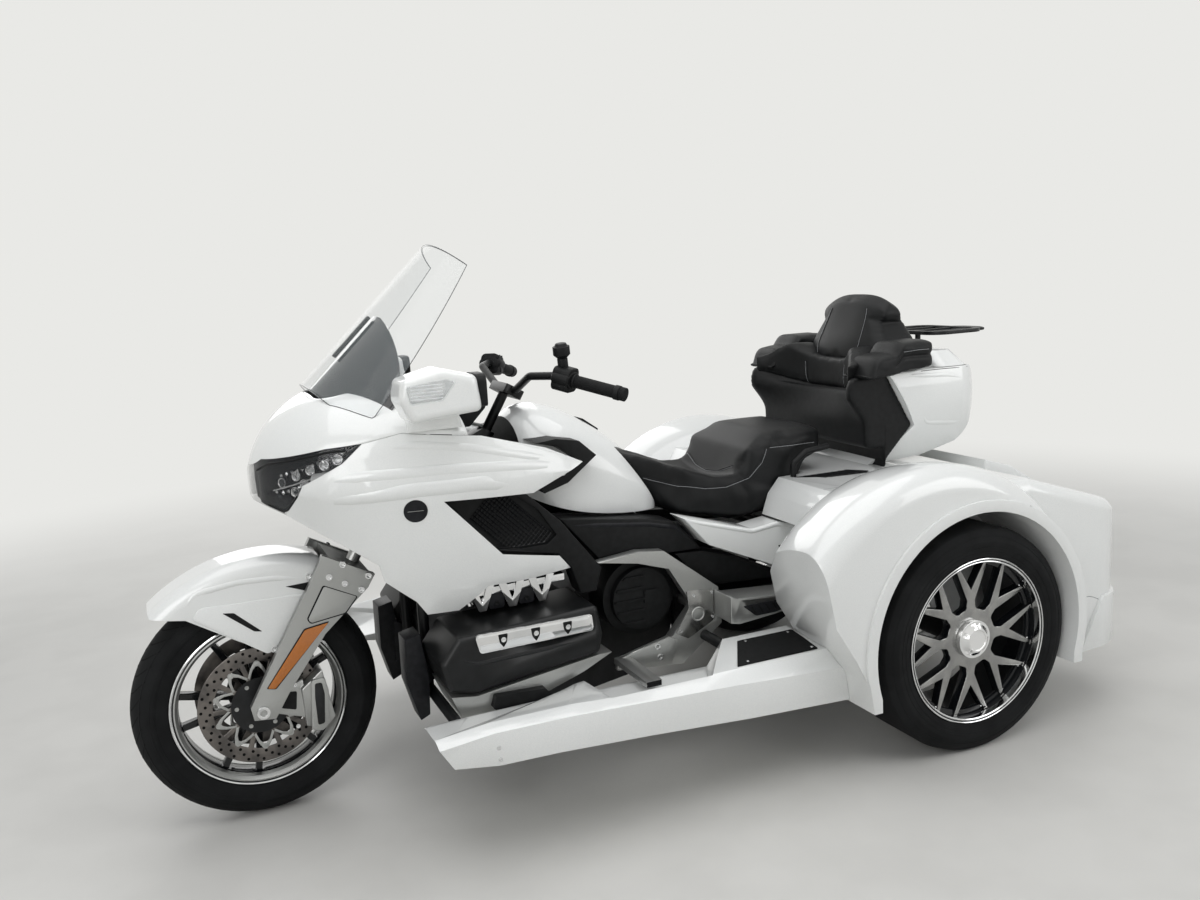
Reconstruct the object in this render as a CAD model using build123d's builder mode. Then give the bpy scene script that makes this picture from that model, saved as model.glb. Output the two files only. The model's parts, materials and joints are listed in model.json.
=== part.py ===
from build123d import *
import math
import os
from collections import namedtuple

os.makedirs("parts", exist_ok=True)

# Touring trike, millimetres. Origin on the ground at the middle of its length, +X forward, +Y left, +Z up.

# Overall layout
wheelbase = 1875
tail_overhang = 665
front_tyre_radius = 320
front_tyre_width = 130
rear_tyre_radius = 327
rear_tyre_width = 236
rear_wheel_y = 588
overall_length = front_tyre_radius + wheelbase + tail_overhang
front_axle_x = overall_length / 2 - front_tyre_radius
rear_axle_x = front_axle_x - wheelbase
tail_x = -overall_length / 2

# Clearances and walls
shaft_clearance = 0.05
seam = 0.8
seat_gap = 0.3
panel_wall = 4

# Steering
caster = 31
trail = 110
steer_foot_x = front_axle_x + trail
lean_sin = math.sin(math.radians(caster))
lean_cos = math.cos(math.radians(caster))
bar_pivot_x = 350
bar_pivot_z = 1080

front_wheel = Plane(origin=(front_axle_x, 0, front_tyre_radius), x_dir=(0, 1, 0), z_dir=(1, 0, 0))
front_spin = Axis((front_axle_x, 0, front_tyre_radius), (0, 1, 0))
rear_spin = Axis((rear_axle_x, 0, rear_tyre_radius), (0, 1, 0))


def steer_x(z):
    """Where the steering axis passes at a height."""
    return steer_foot_x - z * lean_sin / lean_cos


def leaned(x, z):
    """A plane square to the steering axis."""
    return Plane(origin=(x, 0, z), x_dir=(0, 1, 0), z_dir=(-lean_sin, 0, lean_cos))


def side_view(y, x=0, z=0):
    """A side view plane: its own x and y run along X and Z, its normal to the right."""
    return Plane(origin=(x, y, z), x_dir=(1, 0, 0), z_dir=(0, -1, 0))


def outline(points):
    """A closed outline with straight sides."""
    with BuildLine() as edge:
        Polyline(*points, close=True)
    make_face(edge.edges())


def round_corners(radius):
    """Rounds every corner of the outline in hand."""
    fillet(BuildSketch._get_context().vertices(), radius)


def plate(points, y_in, y_out, mode=Mode.ADD):
    """A side outline made solid between two distances left of the middle."""
    with BuildSketch(side_view(y_in)) as face:
        outline(points)
    extrude(face.sketch, amount=y_in - y_out, mode=mode)


def bar(points, radius, bend):
    """A round bar along runs joined by arcs."""
    with BuildLine() as route:
        FilletPolyline(*points, radius=bend)
    with BuildSketch(Plane(origin=route.line @ 0, z_dir=route.line % 0)) as section:
        Circle(radius)
    sweep(section.sketch, path=route.line)


def save(name, node):
    node.part.label = name
    export_step(node.part, f"parts/{name}.step")


# Front wheel: tyre, rim with split spokes, two discs
front_bead_radius = 229
front_rim_half = 52
front_hub_radius = 36
front_hub_half = 52
front_axle_radius = 10
front_spoke_count = 5
front_sidewall = 42

with BuildPart() as front_tyre:
    with BuildSketch(front_wheel):
        with BuildLine():
            half = front_tyre_width / 2
            shoulder = front_bead_radius + front_sidewall
            l1 = Line((-front_rim_half, front_bead_radius), (front_rim_half, front_bead_radius))
            l2 = Line(l1 @ 1, (half, shoulder))
            l3 = ThreePointArc(l2 @ 1, (0, front_tyre_radius), (-half, shoulder))
            l4 = Line(l3 @ 1, l1 @ 0)
        make_face()
    revolve(axis=front_spin)
save("front_tyre", front_tyre)

with BuildPart() as front_rim:
    with BuildSketch(front_wheel):
        outline([
            (-front_rim_half, front_bead_radius - seat_gap), (front_rim_half, front_bead_radius - seat_gap),
            (front_rim_half, front_bead_radius - 9), (22, front_bead_radius - 26),
            (-22, front_bead_radius - 26), (-front_rim_half, front_bead_radius - 9),
        ])
        with Locations((0, front_hub_radius / 2)):
            Rectangle(2 * front_hub_half, front_hub_radius)
    revolve(axis=front_spin)
    with BuildSketch(side_view(14, front_axle_x, front_tyre_radius)):
        with PolarLocations(0, front_spoke_count):
            for spread in (-1, 1):
                Polygon((25, 8 * spread - 9), (206, 46 * spread - 8), (206, 46 * spread + 8),
                        (25, 8 * spread + 9), align=None)
    extrude(amount=28)
    with Locations(side_view(front_hub_half, front_axle_x, front_tyre_radius)):
        Hole(front_axle_radius + shaft_clearance)
save("front_rim", front_rim)

front_disc_radius = 160
front_disc_y = 62
disc_wall = 5
disc_out_y = front_disc_y + disc_wall
with BuildPart() as front_discs:
    with BuildSketch(side_view(front_disc_y, front_axle_x, front_tyre_radius)):
        Circle(front_disc_radius)
        Circle(front_disc_radius - 40, mode=Mode.SUBTRACT)
        with PolarLocations(0, 10):
            with Locations((92, 0)):
                Rectangle(72, 14)
        Circle(58)
        Circle(front_axle_radius + 6, mode=Mode.SUBTRACT)
    extrude(amount=-disc_wall)
    with BuildSketch(side_view(front_hub_half, front_axle_x, front_tyre_radius)):
        Circle(front_hub_radius)
        Circle(front_axle_radius + 6, mode=Mode.SUBTRACT)
    extrude(amount=front_hub_half - front_disc_y)
    mirror(about=Plane.XZ)
save("front_discs", front_discs)

# Fork: side plates, crown, stem and axle
fork_y = 96
fork_wall = 24
fender_half = 90
fender_pad = (front_axle_x - 167, front_tyre_radius + 330)
crown_low_z = 652
stem_radius = 18
stem_top_z = 915
axle_boss_radius = 24

with BuildPart() as fork:
    plate(
        [(front_axle_x - 30, front_tyre_radius - 26), (front_axle_x + 24, front_tyre_radius - 20),
         (front_axle_x + 30, front_tyre_radius + 14), (front_axle_x - 66, 500),
         (front_axle_x - 150, 640), (front_axle_x - 189, 712), (front_axle_x - 322, 640),
         (front_axle_x - 300, 606), (front_axle_x - 178, 500), (front_axle_x - 72, front_tyre_radius + 40)],
        fork_y, fork_y + fork_wall,
    )
    with BuildSketch(side_view(fork_y, front_axle_x, front_tyre_radius)):
        Circle(axle_boss_radius)
    extrude(amount=fork_y - disc_out_y - 2)
    with BuildSketch(side_view(fork_y, *fender_pad)):
        Circle(10)
    extrude(amount=fork_y - fender_half - seat_gap)
    mirror(about=Plane.XZ)
    with BuildSketch(side_view(fork_y + 5)):
        outline([
            (front_axle_x - 210, 698), (front_axle_x - 312, 643), (front_axle_x - 296, 612),
            (front_axle_x - 240, 606), (front_axle_x - 208, 650),
        ])
    extrude(amount=2 * (fork_y + 5))
    with BuildSketch(leaned(steer_x(crown_low_z), crown_low_z)):
        Circle(stem_radius)
    extrude(amount=(stem_top_z - crown_low_z) / lean_cos)
    with BuildSketch(side_view(fork_y + fork_wall + 8, front_axle_x, front_tyre_radius)):
        Circle(front_axle_radius)
    extrude(amount=2 * (fork_y + fork_wall + 8))
save("fork", fork)

# Front fender: a crowned arch over the tyre with side wings on the fork
fender_wall = 3.5
fender_centre = (front_axle_x - 44, front_tyre_radius - 44)
fender_radius = 446
fender_wing = [(256, 320), (244, 284), (160, 270), (40, 192), (-66, 132), (-163, 268), (-193, 400), (0, 440),
               (200, 400)]

fender_crown = 42
with BuildPart() as fender_room:
    with BuildSketch(side_view(fender_half - fender_wall)):
        with Locations(fender_centre):
            Circle(fender_radius - fender_wall)
    extrude(amount=2 * (fender_half - fender_wall))
    fillet(fender_room.edges().filter_by(GeomType.CIRCLE), fender_crown - fender_wall)

with BuildPart() as front_fender:
    with BuildSketch(side_view(fender_half)):
        with Locations(fender_centre):
            Circle(fender_radius)
    extrude(amount=2 * fender_half)
    fillet(front_fender.edges().filter_by(GeomType.CIRCLE), fender_crown)
    with BuildSketch(side_view(fender_half)):
        outline([(front_axle_x + x, front_tyre_radius + z) for x, z in fender_wing])
    extrude(amount=2 * fender_half, mode=Mode.INTERSECT)
    add(fender_room.part, mode=Mode.SUBTRACT)
save("front_fender", front_fender)

# Front calipers on brackets behind the fork legs
caliper_gap = 1.5
with BuildPart() as front_calipers:
    plate(
        [(front_axle_x - 108, 252), (front_axle_x - 104, 356), (front_axle_x - 160, 400),
         (front_axle_x - 184, 262), (front_axle_x - 158, 236)],
        front_disc_y - 14, fork_y + 14,
    )
    with BuildSketch(side_view(disc_out_y + caliper_gap, front_axle_x, front_tyre_radius)):
        Circle(front_disc_radius + 4)
    extrude(amount=disc_wall + 2 * caliper_gap, mode=Mode.SUBTRACT)
    plate(
        [(front_axle_x - 28, 300), (front_axle_x - 34, 350), (front_axle_x - 110, 380),
         (front_axle_x - 112, 270)], disc_out_y + caliper_gap, fork_y - seat_gap,
    )
    mirror(about=Plane.XZ)
save("front_calipers", front_calipers)

# Handlebar: stem, clamp, bent bar, grips and switches
bar_radius = 11
bar_stem_radius = 14
bar_stem_low_z = 960
grip_inner = (302, 282, 1142)
grip_outer = (180, 432, 1096)
bar_foot_x = bar_pivot_x + (bar_pivot_z - bar_stem_low_z) * lean_sin / lean_cos

with BuildPart() as handlebar:
    with BuildSketch(leaned(bar_foot_x, bar_stem_low_z)):
        Circle(bar_stem_radius)
    extrude(amount=(bar_pivot_z - bar_stem_low_z) / lean_cos)
    with BuildSketch(leaned(bar_pivot_x, bar_pivot_z - 6)):
        RectangleRounded(150, 58, 14)
    extrude(amount=26)
    bar([(bar_pivot_x - 4, 0, 1088), (bar_pivot_x - 6, 80, 1090), (345, 210, 1140), grip_inner, grip_outer],
        bar_radius, 30)
    mirror(about=Plane.XZ)
save("handlebar", handlebar)

grip_radius = 17
grip_start = 62
grip_clearance = 0.3
grip_run = Vector(*grip_outer) - Vector(*grip_inner)
grip_way = grip_run.normalized()
with BuildPart() as grips:
    with BuildSketch(Plane(origin=Vector(*grip_inner) + grip_way * grip_start, z_dir=grip_run)):
        Circle(grip_radius)
        Circle(bar_radius + grip_clearance, mode=Mode.SUBTRACT)
    extrude(amount=grip_run.length - grip_start)
    with BuildSketch(Plane(origin=Vector(*grip_outer) + grip_way * grip_clearance, z_dir=grip_run)):
        Circle(grip_radius + 1)
    extrude(amount=14)
    mirror(about=Plane.XZ)
save("grips", grips)

with BuildPart() as bar_controls:
    with BuildSketch(Plane(origin=Vector(*grip_inner) + grip_way * 8, z_dir=grip_run)):
        RectangleRounded(58, 64, 16)
        Circle(bar_radius + grip_clearance, mode=Mode.SUBTRACT)
    extrude(amount=50)
    mirror(about=Plane.XZ)
save("bar_controls", bar_controls)

# Frame: head tube, twin spars, seat rails, downtubes, cross members and outriggers
head_low_z = 770
head_high_z = 905
head_radius = 32
bar_head_radius = 26
spar_y = 126
spar_wall = 26
cradle_x = 666
cradle_y = 110
cradle_z = 292
pivot_x = -118
pivot_z = 345
outrigger_radius = 15
spar_top_z = 890
board_in_y = 395
body_front_x = -490
with BuildPart() as frame:
    plate(
        [(735, spar_top_z), (780, 810), (740, 745), (620, 640), (300, 560), (190, 604), (-40, 610),
         (-84, 560), (-90, 315), (-148, 315), (-150, 600), (-60, 664), (300, 670), (560, 790), (660, 880)],
        spar_y, spar_y + spar_wall,
    )
    plate([(-120, 640), (-120, 596), (body_front_x + seat_gap, 566), (body_front_x + seat_gap, 602)],
          spar_y, spar_y + spar_wall)
    with BuildSketch(Plane.XY.offset(cradle_z)):
        with Locations((cradle_x, cradle_y)):
            Circle(outrigger_radius)
    extrude(amount=440)
    mirror(about=Plane.XZ)
    with BuildSketch(side_view(board_in_y - seat_gap)):
        with Locations((cradle_x, cradle_z), (pivot_x, pivot_z)):
            Circle(outrigger_radius)
    extrude(amount=2 * (board_in_y - seat_gap))
    with BuildSketch(side_view(spar_y + 4)):
        outline([(735, spar_top_z), (780, 810), (740, 745), (650, 700), (610, 760), (640, 870)])
        with Locations((-100, 610), (-465, 582)):
            Circle(18)
    extrude(amount=2 * spar_y + 8)
    plate([(660, 880), (620, 800), (430, 900), (396, 950), (430, 985)], -24, 24)
    with BuildSketch(leaned(steer_x(head_low_z), head_low_z)):
        Circle(head_radius)
    extrude(amount=(head_high_z - head_low_z) / lean_cos)
    with BuildSketch(leaned(bar_foot_x - 20 * lean_sin, bar_stem_low_z + 20 * lean_cos)):
        Circle(bar_head_radius)
    extrude(amount=-80)
    with BuildSketch(leaned(bar_foot_x, bar_stem_low_z)):
        Circle(bar_stem_radius + shaft_clearance)
    extrude(amount=60, mode=Mode.SUBTRACT)
    with BuildSketch(leaned(steer_x(500), 500)):
        Circle(stem_radius + shaft_clearance)
    extrude(amount=600, mode=Mode.SUBTRACT)
save("frame", frame)

# Engine: block, head covers with chrome strips, guards, intake runners, rear drum covers, radiator cowls
engine_low_z = 168
crankcase_half = 165
gearbox_half = spar_y - seat_gap
head_cover_y = 372
guard_y = 364
with BuildPart() as engine_block:
    with BuildSketch(side_view(crankcase_half)):
        outline([(600, 460), (640, 420), (630, 320), (560, engine_low_z), (250, engine_low_z), (230, 480),
                 (330, 530), (560, 530)])
    extrude(amount=2 * crankcase_half)
    with BuildSketch(side_view(gearbox_half)):
        outline([(240, engine_low_z + 10), (60, 205), (-60, 220), (-100, 372), (-100, 500), (-60, 540),
                 (60, 580), (240, 480)])
    extrude(amount=2 * gearbox_half)
save("engine_block", engine_block)

with BuildPart() as head_covers:
    with BuildSketch(side_view(crankcase_half + seat_gap)):
        outline([(640, 505), (690, 440), (672, 364), (600, 346), (250, 390), (238, 440), (250, 524)])
        round_corners(14)
    extrude(amount=crankcase_half + seat_gap - head_cover_y)
    fillet(head_covers.edges().group_by(Axis.Y)[-1], 16)
    mirror(about=Plane.XZ)
save("head_covers", head_covers)

trim_wall = 9
with BuildPart() as head_trims:
    with BuildSketch(side_view(head_cover_y)):
        outline([(600, 508), (274, 508), (270, 462), (588, 458)])
        round_corners(10)
    extrude(amount=-trim_wall)
    with BuildSketch(side_view(head_cover_y + trim_wall)):
        with Locations((345, 483), (435, 483), (525, 483)):
            Ellipse(9, 17)
    extrude(amount=6, mode=Mode.SUBTRACT)
    mirror(about=Plane.XZ)
save("head_trims", head_trims)

with BuildPart() as head_guards:
    plate([(668, 350), (600, 340), (250, 384), (214, 384), (300, 345), (560, 262), (640, 280)],
          crankcase_half + seat_gap, guard_y)
    plate([(556, 338), (420, 332), (404, 312), (430, 284), (540, 282), (566, 308)], guard_y, guard_y + 24)
    mirror(about=Plane.XZ)
save("head_guards", head_guards)

with BuildPart() as intake_runners:
    for x in (370, 455, 540):
        plate([(x - 38, 604), (x - 16, 604), (x, 550), (x + 16, 604), (x + 38, 604), (x + 10, 531),
               (x - 10, 531)], 200, 268)
    plate([(580, 590), (300, 596), (300, 578), (580, 572)], 200, 262)
    plate([(560, 572), (350, 572), (350, 530 + seat_gap), (560, 530 + seat_gap)], 120, 204)
    mirror(about=Plane.XZ)
save("intake_runners", intake_runners)

drum_x = 62
drum_z = 478
drum_radius = 112
drum_face_y = gearbox_half + 124 + seat_gap
drum_rib = 7
with BuildPart() as drum_covers:
    with BuildSketch(side_view(gearbox_half + seat_gap, drum_x, drum_z)):
        Circle(drum_radius)
    extrude(amount=-100)
    with BuildSketch(side_view(gearbox_half + 100 + seat_gap, drum_x, drum_z)):
        Circle(drum_radius - 22)
    extrude(amount=-24)
    with BuildSketch(side_view(drum_face_y, drum_x, drum_z)):
        with Locations(*((50, z) for z in range(-66, 67, 33))):
            Rectangle(drum_radius, drum_rib)
        with Locations((-28, 4)):
            Rectangle(44, 38)
        Circle(drum_radius - 26, mode=Mode.INTERSECT)
    extrude(amount=-6)
    mirror(about=Plane.XZ)
save("drum_covers", drum_covers)

with BuildPart() as radiator_cowls:
    plate([(742, 470), (700, 480), (684, 360), (690, 250), (716, 238), (744, 344)], 128, 205)
    plate([(700, 420), (cradle_x - 8, 400), (cradle_x - 8, 330), (704, 296)],
          cradle_y + outrigger_radius + seat_gap, 160)
    mirror(about=Plane.XZ)
save("radiator_cowls", radiator_cowls)

# Front fairing hull: rings from the nose back to the rider's knees
Ring = namedtuple("Ring", "x skirt low low_z waist waist_z shoulder shoulder_z crown crown_z")
skirt_z = 470
fairing_rings = [
    Ring(1070, 28, 38, 868, 60, 905, 54, 935, 28, 952),
    Ring(1040, 80, 100, 856, 134, 900, 124, 972, 56, 1020),
    Ring(985, 125, 165, 832, 208, 898, 196, 992, 88, 1080),
    Ring(880, 190, 245, 765, 285, 897, 264, 1014, 130, 1135),
    Ring(730, 235, 300, 703, 335, 898, 304, 1038, 190, 1130),
    Ring(520, 250, 312, 692, 345, 896, 318, 1012, 240, 1060),
    Ring(290, 245, 292, 688, 322, 892, 300, 935, 240, 960),
    Ring(200, 240, 284, 686, 312, 890, 292, 905, 240, 920),
]


def fairing_hull(inset, mode=Mode.ADD):
    """The fairing's outer form, drawn in by an inset."""
    sections = []
    for r in fairing_rings:
        drawn = min(inset, r.skirt / 2)
        half = [(r.shoulder - drawn, r.shoulder_z - drawn / 2), (r.waist - drawn, r.waist_z),
                (r.low - drawn, r.low_z), (r.skirt - drawn, skirt_z)]
        crown = r.crown - drawn / 2
        top = r.crown_z - drawn
        with BuildSketch(Plane.YZ.offset(r.x - (inset if r is fairing_rings[0] else 0))) as section:
            with BuildLine() as edge:
                side = Polyline(*half, *[(-y, z) for y, z in reversed(half)])
                Spline(side @ 1, (-crown, top - 8), (0, top), (crown, top - 8), side @ 0)
            make_face(edge.edges())
        sections.append(section.sketch)
    loft(sections, mode=mode)


def fairing_panel(wall, corners):
    """The hull's skin inside a side outline, parted from its neighbours by a seam."""
    fairing_hull(0)
    fairing_hull(wall, mode=Mode.SUBTRACT)
    with BuildSketch(side_view(fairing_cut_y)) as window:
        outline(corners)
        offset(amount=-seam / 2, kind=Kind.INTERSECTION)
    extrude(window.sketch, amount=2 * fairing_cut_y, mode=Mode.INTERSECT)


fairing_cut_y = 360
lamp_top = [(822, 1020), (905, 1012), (1045, 982), (1085, 940)]
lamp_low = [(1004, 838), (966, 922), (872, 975)]
with BuildPart() as side_fairings:
    fairing_panel(panel_wall, lamp_low + [
        (822, 1020), (728, 1038), (522, 1011), (340, 955), (243, 908), (396, 845), (640, 858), (486, 690),
        (320, 655), (284, 612), (418, 604), (524, 604), (568, 570), (604, 546), (688, 548), (716, 590),
        (792, 655), (804, 702), (884, 760),
    ])
save("side_fairings", side_fairings)

lamp_depth = 26
lamp_outline = [(1075, 872)] + lamp_low + lamp_top
with BuildPart() as headlamps:
    fairing_panel(panel_wall, lamp_outline)
save("headlamps", headlamps)

with BuildPart() as nose_cowl:
    fairing_panel(panel_wall, lamp_top[::-1] + [(728, 1038), (560, 1018), (560, 1200), (1085, 1200)])
    with BuildSketch(Plane.XY.offset(900)):
        with Locations((700, 0)):
            RectangleRounded(400, 300, 60)
    extrude(amount=400, mode=Mode.SUBTRACT)
save("nose_cowl", nose_cowl)

inner_x = 600
inner_wall = 12
dash_half = 140
with BuildPart() as lamp_shelf:
    fairing_hull(lamp_depth + seat_gap)
    with BuildSketch(side_view(fairing_cut_y)):
        with Locations((954, 940)):
            Rectangle(inner_wall, 120)
        with Locations(((960 + inner_x) / 2, spar_top_z + seat_gap + inner_wall / 2)):
            Rectangle(960 - inner_x, inner_wall)
    extrude(amount=2 * fairing_cut_y, mode=Mode.INTERSECT)

with BuildPart() as lamp_bowls:
    fairing_hull(lamp_depth - panel_wall)
    fairing_hull(lamp_depth + seat_gap + 1, mode=Mode.SUBTRACT)
    with BuildSketch(side_view(fairing_cut_y)) as bed:
        outline(lamp_outline)
        offset(amount=-seam, kind=Kind.INTERSECTION)
    extrude(bed.sketch, amount=2 * fairing_cut_y, mode=Mode.INTERSECT)

with BuildPart() as inner_fairing:
    fairing_hull(panel_wall + seat_gap)
    with BuildSketch(side_view(fairing_cut_y)):
        with Locations((inner_x + inner_wall / 2, 1033)):
            Rectangle(inner_wall, 334)
    extrude(amount=2 * fairing_cut_y, mode=Mode.INTERSECT)
    add(lamp_shelf.part)
    add(lamp_bowls.part)
    plate([(inner_x - 1, 800), (780, 800), (780, 940), (inner_x - 1, 940)], -head_radius - 2, head_radius + 2,
          mode=Mode.SUBTRACT)
    plate([(inner_x - 1, 800), (inner_x + 60, 800), (inner_x + 60, spar_top_z), (inner_x - 1, spar_top_z)],
          -spar_y - spar_wall - seat_gap, spar_y + spar_wall + seat_gap, mode=Mode.SUBTRACT)
    plate([(inner_x - 1, 990), (inner_x + 20, 990), (inner_x + 20, 1200), (inner_x - 1, 1200)],
          -dash_half - seat_gap, dash_half + seat_gap, mode=Mode.SUBTRACT)
save("inner_fairing", inner_fairing)

duct_in_y = 215
duct_y = 282
duct_depth = 16
duct_mouth = [(612, 838), (496, 706), (430, 690), (352, 690), (322, 712), (372, 790), (432, 838), (500, 850)]
with BuildPart() as side_ducts:
    plate([(640, 850), (486, 692), (320, 658), (284, 612), (262, 536), (214, 536), (196, 600), (310, 750),
           (400, 835), (500, 862)], duct_in_y, duct_y)
    plate(duct_mouth, duct_y - duct_depth, duct_y, mode=Mode.SUBTRACT)
    mirror(about=Plane.XZ)
save("side_ducts", side_ducts)

# Screen and what stands round it
screen_foot = (925, 1142)
screen_head = (548, 1504)
screen_wall = 4
screen_run = math.hypot(screen_head[0] - screen_foot[0], screen_head[1] - screen_foot[1])


def screen_plane(share, back=0):
    """A plane square to the screen's slope, some share of the way up it and moved back."""
    dx = (screen_head[0] - screen_foot[0]) / screen_run
    dz = (screen_head[1] - screen_foot[1]) / screen_run
    x = screen_foot[0] + share * screen_run * dx - back * dz
    z = screen_foot[1] + share * screen_run * dz + back * dx
    return Plane(origin=(x, 0, z), x_dir=(0, 1, 0), z_dir=(dx, 0, dz))


def bowed_sheet(half, sag, wall):
    """A thin bowed section, its middle forward of its edges."""
    with BuildLine() as edge:
        outer = ThreePointArc((-half, sag), (0, 0), (half, sag))
        inner = ThreePointArc((half, sag + wall), (0, wall), (-half, sag + wall))
        Line(outer @ 1, inner @ 0)
        Line(inner @ 1, outer @ 0)
    make_face(edge.edges())


with BuildPart() as windscreen:
    for share, half, sag in ((0.03, 262, 145), (0.5, 236, 122), (1, 182, 82)):
        with BuildSketch(screen_plane(share)):
            bowed_sheet(half, sag, screen_wall)
    loft()
    with BuildSketch(Plane.YZ.offset(400)):
        outline([(-300, 1000), (-262, 1160), (-182, screen_head[1]), (182, screen_head[1]), (262, 1160),
                 (300, 1000)])
        round_corners(45)
    extrude(amount=600, mode=Mode.INTERSECT)
    fairing_hull(-seat_gap, mode=Mode.SUBTRACT)
save("windscreen", windscreen)

with BuildPart() as screen_garnish:
    for share, half, sag in ((0.06, 190, 90), (0.5, 120, 44)):
        with BuildSketch(screen_plane(share, 30)):
            bowed_sheet(half, sag, 5)
    loft()
    fairing_hull(-seat_gap, mode=Mode.SUBTRACT)
save("screen_garnish", screen_garnish)

with BuildPart() as dash:
    with BuildSketch(side_view(dash_half)):
        outline([(800, 1060), (560, 1118), (462, 1135), (452, 1060), (500, 1012), (700, 1000), (790, 1010)])
        round_corners(10)
    extrude(amount=2 * dash_half)
save("dash", dash)

mirror_in_y = 330
mirror_out_y = 445
with BuildPart() as mirrors:
    with BuildSketch(side_view(mirror_in_y)):
        outline([(560, 1178), (648, 1202), (744, 1180), (754, 1130), (728, 1074), (630, 1084), (549, 1090)])
        round_corners(14)
    extrude(amount=mirror_in_y - mirror_out_y)
    fillet(mirrors.edges().group_by(Axis.Y)[-1], 18)
    plate([(575, 1040), (715, 1040), (700, 1120), (590, 1130)], 215, mirror_in_y + 2)
    fairing_hull(-seat_gap, mode=Mode.SUBTRACT)
    mirror(about=Plane.XZ)
save("mirrors", mirrors)

# Tank cover, seat and the panels round them
Hoop = namedtuple("Hoop", "x half low high")
seat_half = 200
deck_z = 760
tank_hoops = [
    Hoop(362, 150, 806, 1010), Hoop(300, 190, 774, 1042), Hoop(130, 196, 728, 980),
    Hoop(0, 165, 712, 868), Hoop(-56, 120, 706, 760),
]


def tank_form(grown, mode=Mode.ADD):
    """The tank cover's outer form, grown by a gap."""
    rings = []
    for h in tank_hoops:
        side = h.half + grown
        middle = h.low + (h.high - h.low) * 0.45
        top = h.high + grown
        with BuildSketch(Plane.YZ.offset(h.x)) as ring:
            with BuildLine() as edge:
                Polyline((-side, middle), (-side, h.low), (side, h.low), (side, middle))
                Spline((side, middle), (side * 0.74, top - (top - middle) * 0.3), (0, top),
                       (-side * 0.74, top - (top - middle) * 0.3), (-side, middle))
            make_face(edge.edges())
        rings.append(ring.sketch)
    loft(rings, mode=mode)


with BuildPart() as tank_cover:
    tank_form(0)
    plate([(75, 906), (-8, 878), (-70, 846), (-200, 846), (-200, 690), (-70, 698)], -seat_half, seat_half,
          mode=Mode.SUBTRACT)
save("tank_cover", tank_cover)

with BuildPart() as tank_trims:
    plate([(353, 961), (294, 967), (226, 954), (177, 909), (265, 842), (335, 821), (350, 840), (262, 885),
           (233, 903), (291, 945)], 120, 244)
    mirror(about=Plane.XZ)
    plate([(275, 1037), (130, 984), (84, 950), (84, 900), (275, 988)], -48, 48)
    tank_form(seat_gap, mode=Mode.SUBTRACT)
save("tank_trims", tank_trims)

side_panel_in_y = spar_y + spar_wall + seat_gap
side_panel_out_y = 246
with BuildPart() as side_panels:
    plate([(296, 744), (28, 706), (-54, 686), (-140, 594), (176, 602)], side_panel_in_y, side_panel_out_y)
    plate([(-52, 590), (-142, 586), (-256, 550), (-438, 462), (-170, 478), (-96, 540)],
          side_panel_in_y, side_panel_out_y)
    mirror(about=Plane.XZ)
save("side_panels", side_panels)

cover_end_x = body_front_x + seat_gap
with BuildPart() as seat_side_covers:
    plate([(-62, 702), (-287, 638), (-374, 648), (cover_end_x, 616), (cover_end_x, 452), (-330, 530),
           (-142, 612)], seat_half + seat_gap, 290)
    mirror(about=Plane.XZ)
save("seat_side_covers", seat_side_covers)

with BuildPart() as seat:
    with BuildSketch(side_view(seat_half)):
        outline([(66, 894), (-6, 866), (-123, 800), (-220, 756), (-300, 752), (-350, 850), (-430, 898),
                 (-626, 898),
                 (-626, 826), (-556, 812), (-517, 740), (-424, 660), (-317, 644), (-98, 690), (-62, 722)])
    extrude(amount=2 * seat_half)
    with BuildSketch(Plane.XY.offset(600)):
        outline([(70, 105), (-40, 150), (-130, seat_half), (-560, seat_half), (-630, 180), (-630, -180),
                 (-560, -seat_half), (-130, -seat_half), (-40, -150), (70, -105)])
        round_corners(30)
    extrude(amount=320, mode=Mode.INTERSECT)
save("seat", seat)

backrest_half = 165
lid_seam_z = 1052
with BuildPart() as backrest:
    with BuildSketch(side_view(backrest_half)):
        outline([(-800, lid_seam_z + seat_gap), (-812, 1090), (-846, 1200), (-872, 1272), (-905, 1292),
                 (-940, 1270), (-972, 1150), (-980, 1110), (-900, lid_seam_z + seat_gap)])
    extrude(amount=2 * backrest_half)
    with BuildSketch(Plane.YZ.offset(-1000)):
        outline([(-backrest_half + 10, 1040), (-backrest_half, 1130), (-112, 1300), (112, 1300),
                 (backrest_half, 1130), (backrest_half - 10, 1040)])
    extrude(amount=300, mode=Mode.INTERSECT)
save("backrest", backrest)

arm_in_y = 200
arm_out_y = 345
front_top_z = 1046
with BuildPart() as arm_rests:
    plate([(-648, 1050), (-676, 1134), (-760, 1146), (-916, 1146), (-922, 1068), (-800, 1058),
           (-780, lid_seam_z - 0.1), (-660, front_top_z)], arm_in_y, arm_out_y)
    with BuildSketch(Plane.XY.offset(1000)):
        outline([(-640, arm_in_y - 40), (-640, arm_out_y), (-930, arm_out_y), (-930, arm_in_y - 40)])
        round_corners(36)
    extrude(amount=200, mode=Mode.INTERSECT)
    mirror(about=Plane.XZ)
save("arm_rests", arm_rests)

# Top box: tray, black front panel, lid and rack
trunk_half = 296
trunk_wall = 5
trunk_low_z = deck_z + seat_gap
notch = [(-782, lid_seam_z), (-882, 882), (-758, trunk_low_z)]


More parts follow.
